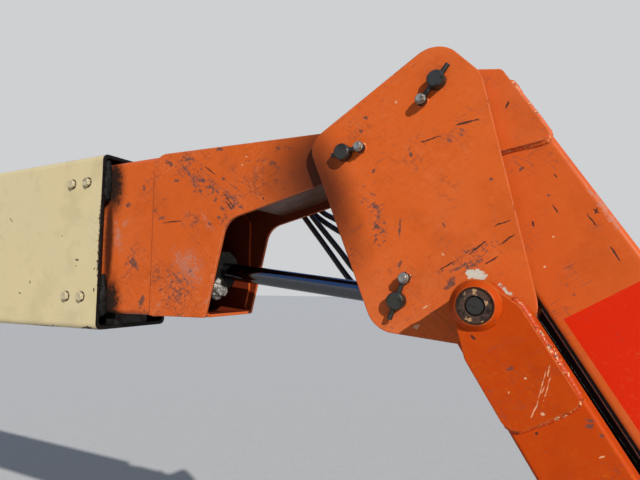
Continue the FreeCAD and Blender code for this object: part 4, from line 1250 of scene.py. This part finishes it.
@dataclass
class Knuckle(Group):
    """Two plates with a web between them, pins with keeper rods, and bolts in the keepers' bosses."""

    nodes = {KNUCKLE_PAINT: "knuckle_plate_near knuckle_plate_far knuckle_web",
             BLACK_PAINT: "knuckle_port_block",
             PIN_STEEL: "knuckle_pin jib_pin level_pin_ends pin_keepers"}
    inner: float = 0.086
    outer: float = 0.098
    boss_face: float = 0.111
    boss: float = 0.0085
    corner: float = 0.0072
    height: float = 0.006
    washer: float = 0.0082
    bosses: tuple[Place, ...] = ((3.9190, 0.2292), (3.9913, 0.0165), (4.0219, 0.2903))

    def pieces(self) -> None:
        """Adds the bolts, and beads round their bosses and the web."""
        bolts, beads = Mesh(), Mesh()
        for number, (x, z) in enumerate(self.bosses):
            hex_head(bolts, (x, -self.boss_face, z), (0, -1, 0), self.corner, self.height, self.washer)
            bead(beads, circle((x, -self.outer, z), self.boss, 48), (0, 1, 0), 0.0015, True, 40 + number)
        weld_sides(beads, "knuckle_web", self.inner, lambda path: path[:, 0] > 0.0, 0.003)
        bolts.settle("keeper_bolts", BOLT_STEEL, "knuckle", "pin_steel", SHARP)
        beads.settle("knuckle_welds", WELD_PAINT, "knuckle", "orange_paint")


@dataclass
class Jib(Group):
    """The hanging arm: box, cheeks at both ends and the lugs of its cylinder."""

    nodes = {JIB_PAINT: "jib_box jib_cheeks_near jib_cheeks_far jib_eye_tubes",
             COVER_PAINT: "jib_cylinder_lugs"}
    half_width: float = 0.072
    bottom: float = -0.058
    eye: float = 0.055
    weld: float = 0.0045
    lug_middle: float = 1.180
    lug_half: float = 0.075
    lug_inner: float = 0.030
    lug_thick: float = 0.012

    def on_box(self, path: Array) -> Array:
        """Whether points of a cheek's outline lie on the box, away from the eyes and from its underside."""
        along, above = JIB.seen(path)
        reach = np.minimum(along, REACH - along)
        return (reach > self.eye) & (above > self.bottom + 0.004)

    def pieces(self) -> None:
        """Welds the cheeks and the lugs to the box."""
        mesh = Mesh()
        weld_sides(mesh, "jib_cheeks_{}", self.half_width, self.on_box, self.weld)
        corners = np.array([(-1, 0), (1, 0), (1, 1), (-1, 1)])
        for side in Side:
            along = self.lug_middle + self.lug_half * corners[:, 0]
            across = side.value * (self.lug_inner + self.lug_thick * corners[:, 1])
            bead(mesh, JIB.at(along, self.bottom, across), (0, 1, 0), 0.003, True, 60)
        mesh.settle("jib_welds", WELD_PAINT, "jib", "orange_paint")


@dataclass
class Links(Group):
    """The two lower links with their ear plates, eye tubes and rusty bushes."""

    nodes = {LINK_PAINT: "link_tube_near link_tube_far link_tie", EAR_PAINT: "link_ears_near link_ears_far",
             COLLAR_PAINT: "link_eye_tubes", DARK_PIN: "link_pin", RUST: "link_bushes"}
    outer: float = 0.176
    inner: float = 0.104
    half_width: float = 0.048
    tube: float = 0.034
    weld: float = 0.0050
    tie: tuple[float, float] = (0.6485, 0.7985)
    tie_inset: float = 0.006
    tie_weld: float = 0.004
    right_edge: float = 0.030
    foot: float = 0.132

    def on_tube(self, path: Array) -> Array:
        """Whether points of an ear's outline are welded: its right edge, its foot and low left corner."""
        along, above = LINK.seen(path)
        reach = np.minimum(along, REACH - along)
        clear = np.hypot(reach, above) > self.tube
        return clear & (((above > self.right_edge) & (reach > 0.012)) | (reach > self.foot))

    def pieces(self) -> None:
        """Welds the ears and the tie."""
        mesh = Mesh()
        weld_sides(mesh, "link_ears_{}", self.outer, self.on_tube, self.weld)
        for side in Side:
            across = side.value * np.linspace(self.inner + self.tie_inset, self.outer - self.tie_inset, 12)
            for number, along in enumerate(self.tie):
                path = LINK.at(along, -self.half_width, across)
                bead(mesh, path, (1, 0, 0), self.tie_weld, False, 90 + number)
        mesh.settle("link_welds", LINK_WELD_PAINT, "links", "orange_paint")


@dataclass
class JibCylinder(Group):
    """The cylinder between the links that swings the jib."""

    nodes = {GLOSS_BLACK: "jib_cylinder_barrel jib_cylinder_gland", CHROME: "jib_cylinder_rod"}


@dataclass
class Bracket(Group):
    """The bracket that carries the platform."""

    nodes = {COVER_PAINT: "bracket_plate_near bracket_plate_far platform_face",
             PIN_STEEL: "bracket_jib_pin",
             RUST: "bracket_link_pins"}
    inner: float = 0.086
    face: float = 4.959
    low: float = -1.334
    high: float = -0.874

    def pieces(self) -> None:
        """Welds the side plates to the face."""
        mesh = Mesh()
        for side in Side:
            path = np.full((60, 3), (self.face, side.value * self.inner, 0.0))
            path[:, 2] = np.linspace(self.low, self.high, 60)
            bead(mesh, path, (0, 1, 0), 0.004, False, 95)
        mesh.settle("bracket_welds", WELD_PAINT, "bracket", "orange_paint")


@dataclass
class Hoses(Group):
    """Four hydraulic hoses past the knuckle on the far side.

    Each runs from a ferrule on the gooseneck's port block to one on the knuckle's. The table gives each
    hose's row on the gooseneck's block, Y, height and slope of its knuckle port, straight lead at each end,
    and the points (x, z) between them.
    """

    nodes = {}
    radius: float = 0.006
    ferrule: float = 0.024
    first_port: Place = (3.6715, 0.191)
    knuckle_port_x: float = 3.918
    angle: float = -52.1
    pitch: float = 0.0162
    inner_y: float = 0.110
    outer_y: float = 0.126
    nut: float = 0.0098
    lengths: tuple[float, ...] = (0.291, 0.271, 0.240, 0.226)
    steps: int = 96
    sides: int = 16

    def routes(self) -> list[Array]:
        """Control points of each hose."""
        near, far = self.inner_y, self.outer_y
        table = [
            (0, near, -0.012, 0.0, 0.040, 0.030, [(3.757, 0.0825), (3.803, 0.022), (3.826, 0.0)]),
            (1, near, 0.008, 0.0, 0.036, 0.026,
             [(3.7543, 0.1145), (3.7876, 0.0762), (3.814, 0.0425), (3.838, 0.020)]),
            (1, far, 0.036, -30.0, 0.022, 0.026, [(3.752, 0.136), (3.795, 0.1115), (3.835, 0.086)]),
            (2, far, 0.054, -30.0, 0.030, 0.026, [(3.772, 0.1465), (3.809, 0.1265), (3.842, 0.102)]),
        ]
        block = Lie(*self.first_port, self.angle)
        found = []
        for row, y, height, slope, lead_out, lead_in, middle in table:
            into = Lie(0.0, 0.0, slope).along
            end = np.array((self.knuckle_port_x, y, height)) - into * self.ferrule
            points = [block.at(self.ferrule + lead, row * self.pitch, y) for lead in (0.0, lead_out)]
            points += [np.array((x, y, z)) for x, z in middle]
            found.append(np.array([*points, end - into * lead_in, end]))
        return found

    def line(self, points: Array) -> Array:
        """Points read from the NURBS spline of a route."""
        data = bpy.data.curves.new("route", "CURVE")
        data.dimensions = "3D"
        spline = data.splines.new("NURBS")
        spline.points.add(len(points) - 1)
        spline.points.foreach_set("co", np.column_stack([points, np.ones(len(points))]).ravel())
        spline.order_u = 3
        spline.use_endpoint_u = True
        spline.resolution_u = 24
        holder = bpy.data.objects.new("route", data)
        mesh = bpy.data.meshes.new_from_object(holder)
        line = read(mesh.vertices, "co", 3).astype(float)
        bpy.data.objects.remove(holder)
        bpy.data.curves.remove(data)
        bpy.data.meshes.remove(mesh)
        return line

    def nuts(self, mesh: Mesh, place: Array, ahead: Array) -> None:
        """A swivel nut at the block, then the ferrule's crimped shell: rings that swell eight times."""
        flats = [(self.nut, 0.0), (self.nut, 0.0085), (0.93 * self.nut, 0.0095)]
        mesh.grid(lathe(place, ahead, flats, six_sided))
        height = np.linspace(0.010, self.ferrule + 0.001, 40)
        swell = 0.0080 + 0.0004 * np.sin(height / 0.0135 * 8 * np.pi)
        swell[0] = swell[-1] = 0.0068
        mesh.grid(lathe(place, ahead, list(zip(swell, height)), steps=24))

    def lay_map(self, piece: bpy.types.Object, path: Array) -> None:
        """UV map with the distance along the hose, in metres."""
        layer = piece.data.uv_layers.new(name="along")
        owner = read(piece.data.loops, "vertex_index", 1, np.int32)[:, 0]
        reach = np.concatenate([[0.0], np.cumsum(np.linalg.norm(np.diff(path, axis=0), axis=1))])
        row = np.minimum(owner // self.sides, len(path) - 1)
        uv = np.column_stack([reach[row], (owner % self.sides) / self.sides])
        layer.data.foreach_set("uv", uv.astype(np.float32).ravel())

    def pieces(self) -> None:
        """Makes the hoses as tubes round their lines, and the nuts of their ferrules."""
        fly_nuts, knuckle_nuts = Mesh(), Mesh()
        for number, points in enumerate(self.routes(), 1):
            line = self.line(points)
            whole = np.linalg.norm(np.diff(line, axis=0), axis=1).sum()
            path = resampled(line, whole / self.steps, False)
            mesh = Mesh()
            mesh.grid(rings_along(path, self.radius, (0, 1, 0), self.sides, False))
            piece = mesh.build(f"hose_{number}_cover", HOSE_COVER)
            self.lay_map(piece, path)
            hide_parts(f"hose_{number}")
            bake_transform(piece)
            first, last = unit(path[1] - path[0]), unit(path[-1] - path[-2])
            self.nuts(fly_nuts, path[0] - first * self.ferrule, first)
            self.nuts(knuckle_nuts, path[-1] + last * self.ferrule, -last)
            LOG.info("hose %d bends from the fly to the knuckle", number)
        fly_nuts.settle("hose_nuts_gooseneck", BOLT_STEEL, "fly", "pin_steel", SHARP)
        knuckle_nuts.settle("hose_nuts_knuckle", BOLT_STEEL, "knuckle", "pin_steel", SHARP)


def main() -> None:
    """Builds the stage, then dresses the boom from its base to the platform's bracket."""
    logging.basicConfig(level=logging.INFO, format="%(message)s")
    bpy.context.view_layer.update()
    Studio().build()
    for group in (BaseBoom, Fly, LevelCylinder, Knuckle, Jib, Links, JibCylinder, Bracket, Hoses):
        group().build()
        LOG.info("%s dressed", group.__name__)


if __name__ == "__main__":
    main()
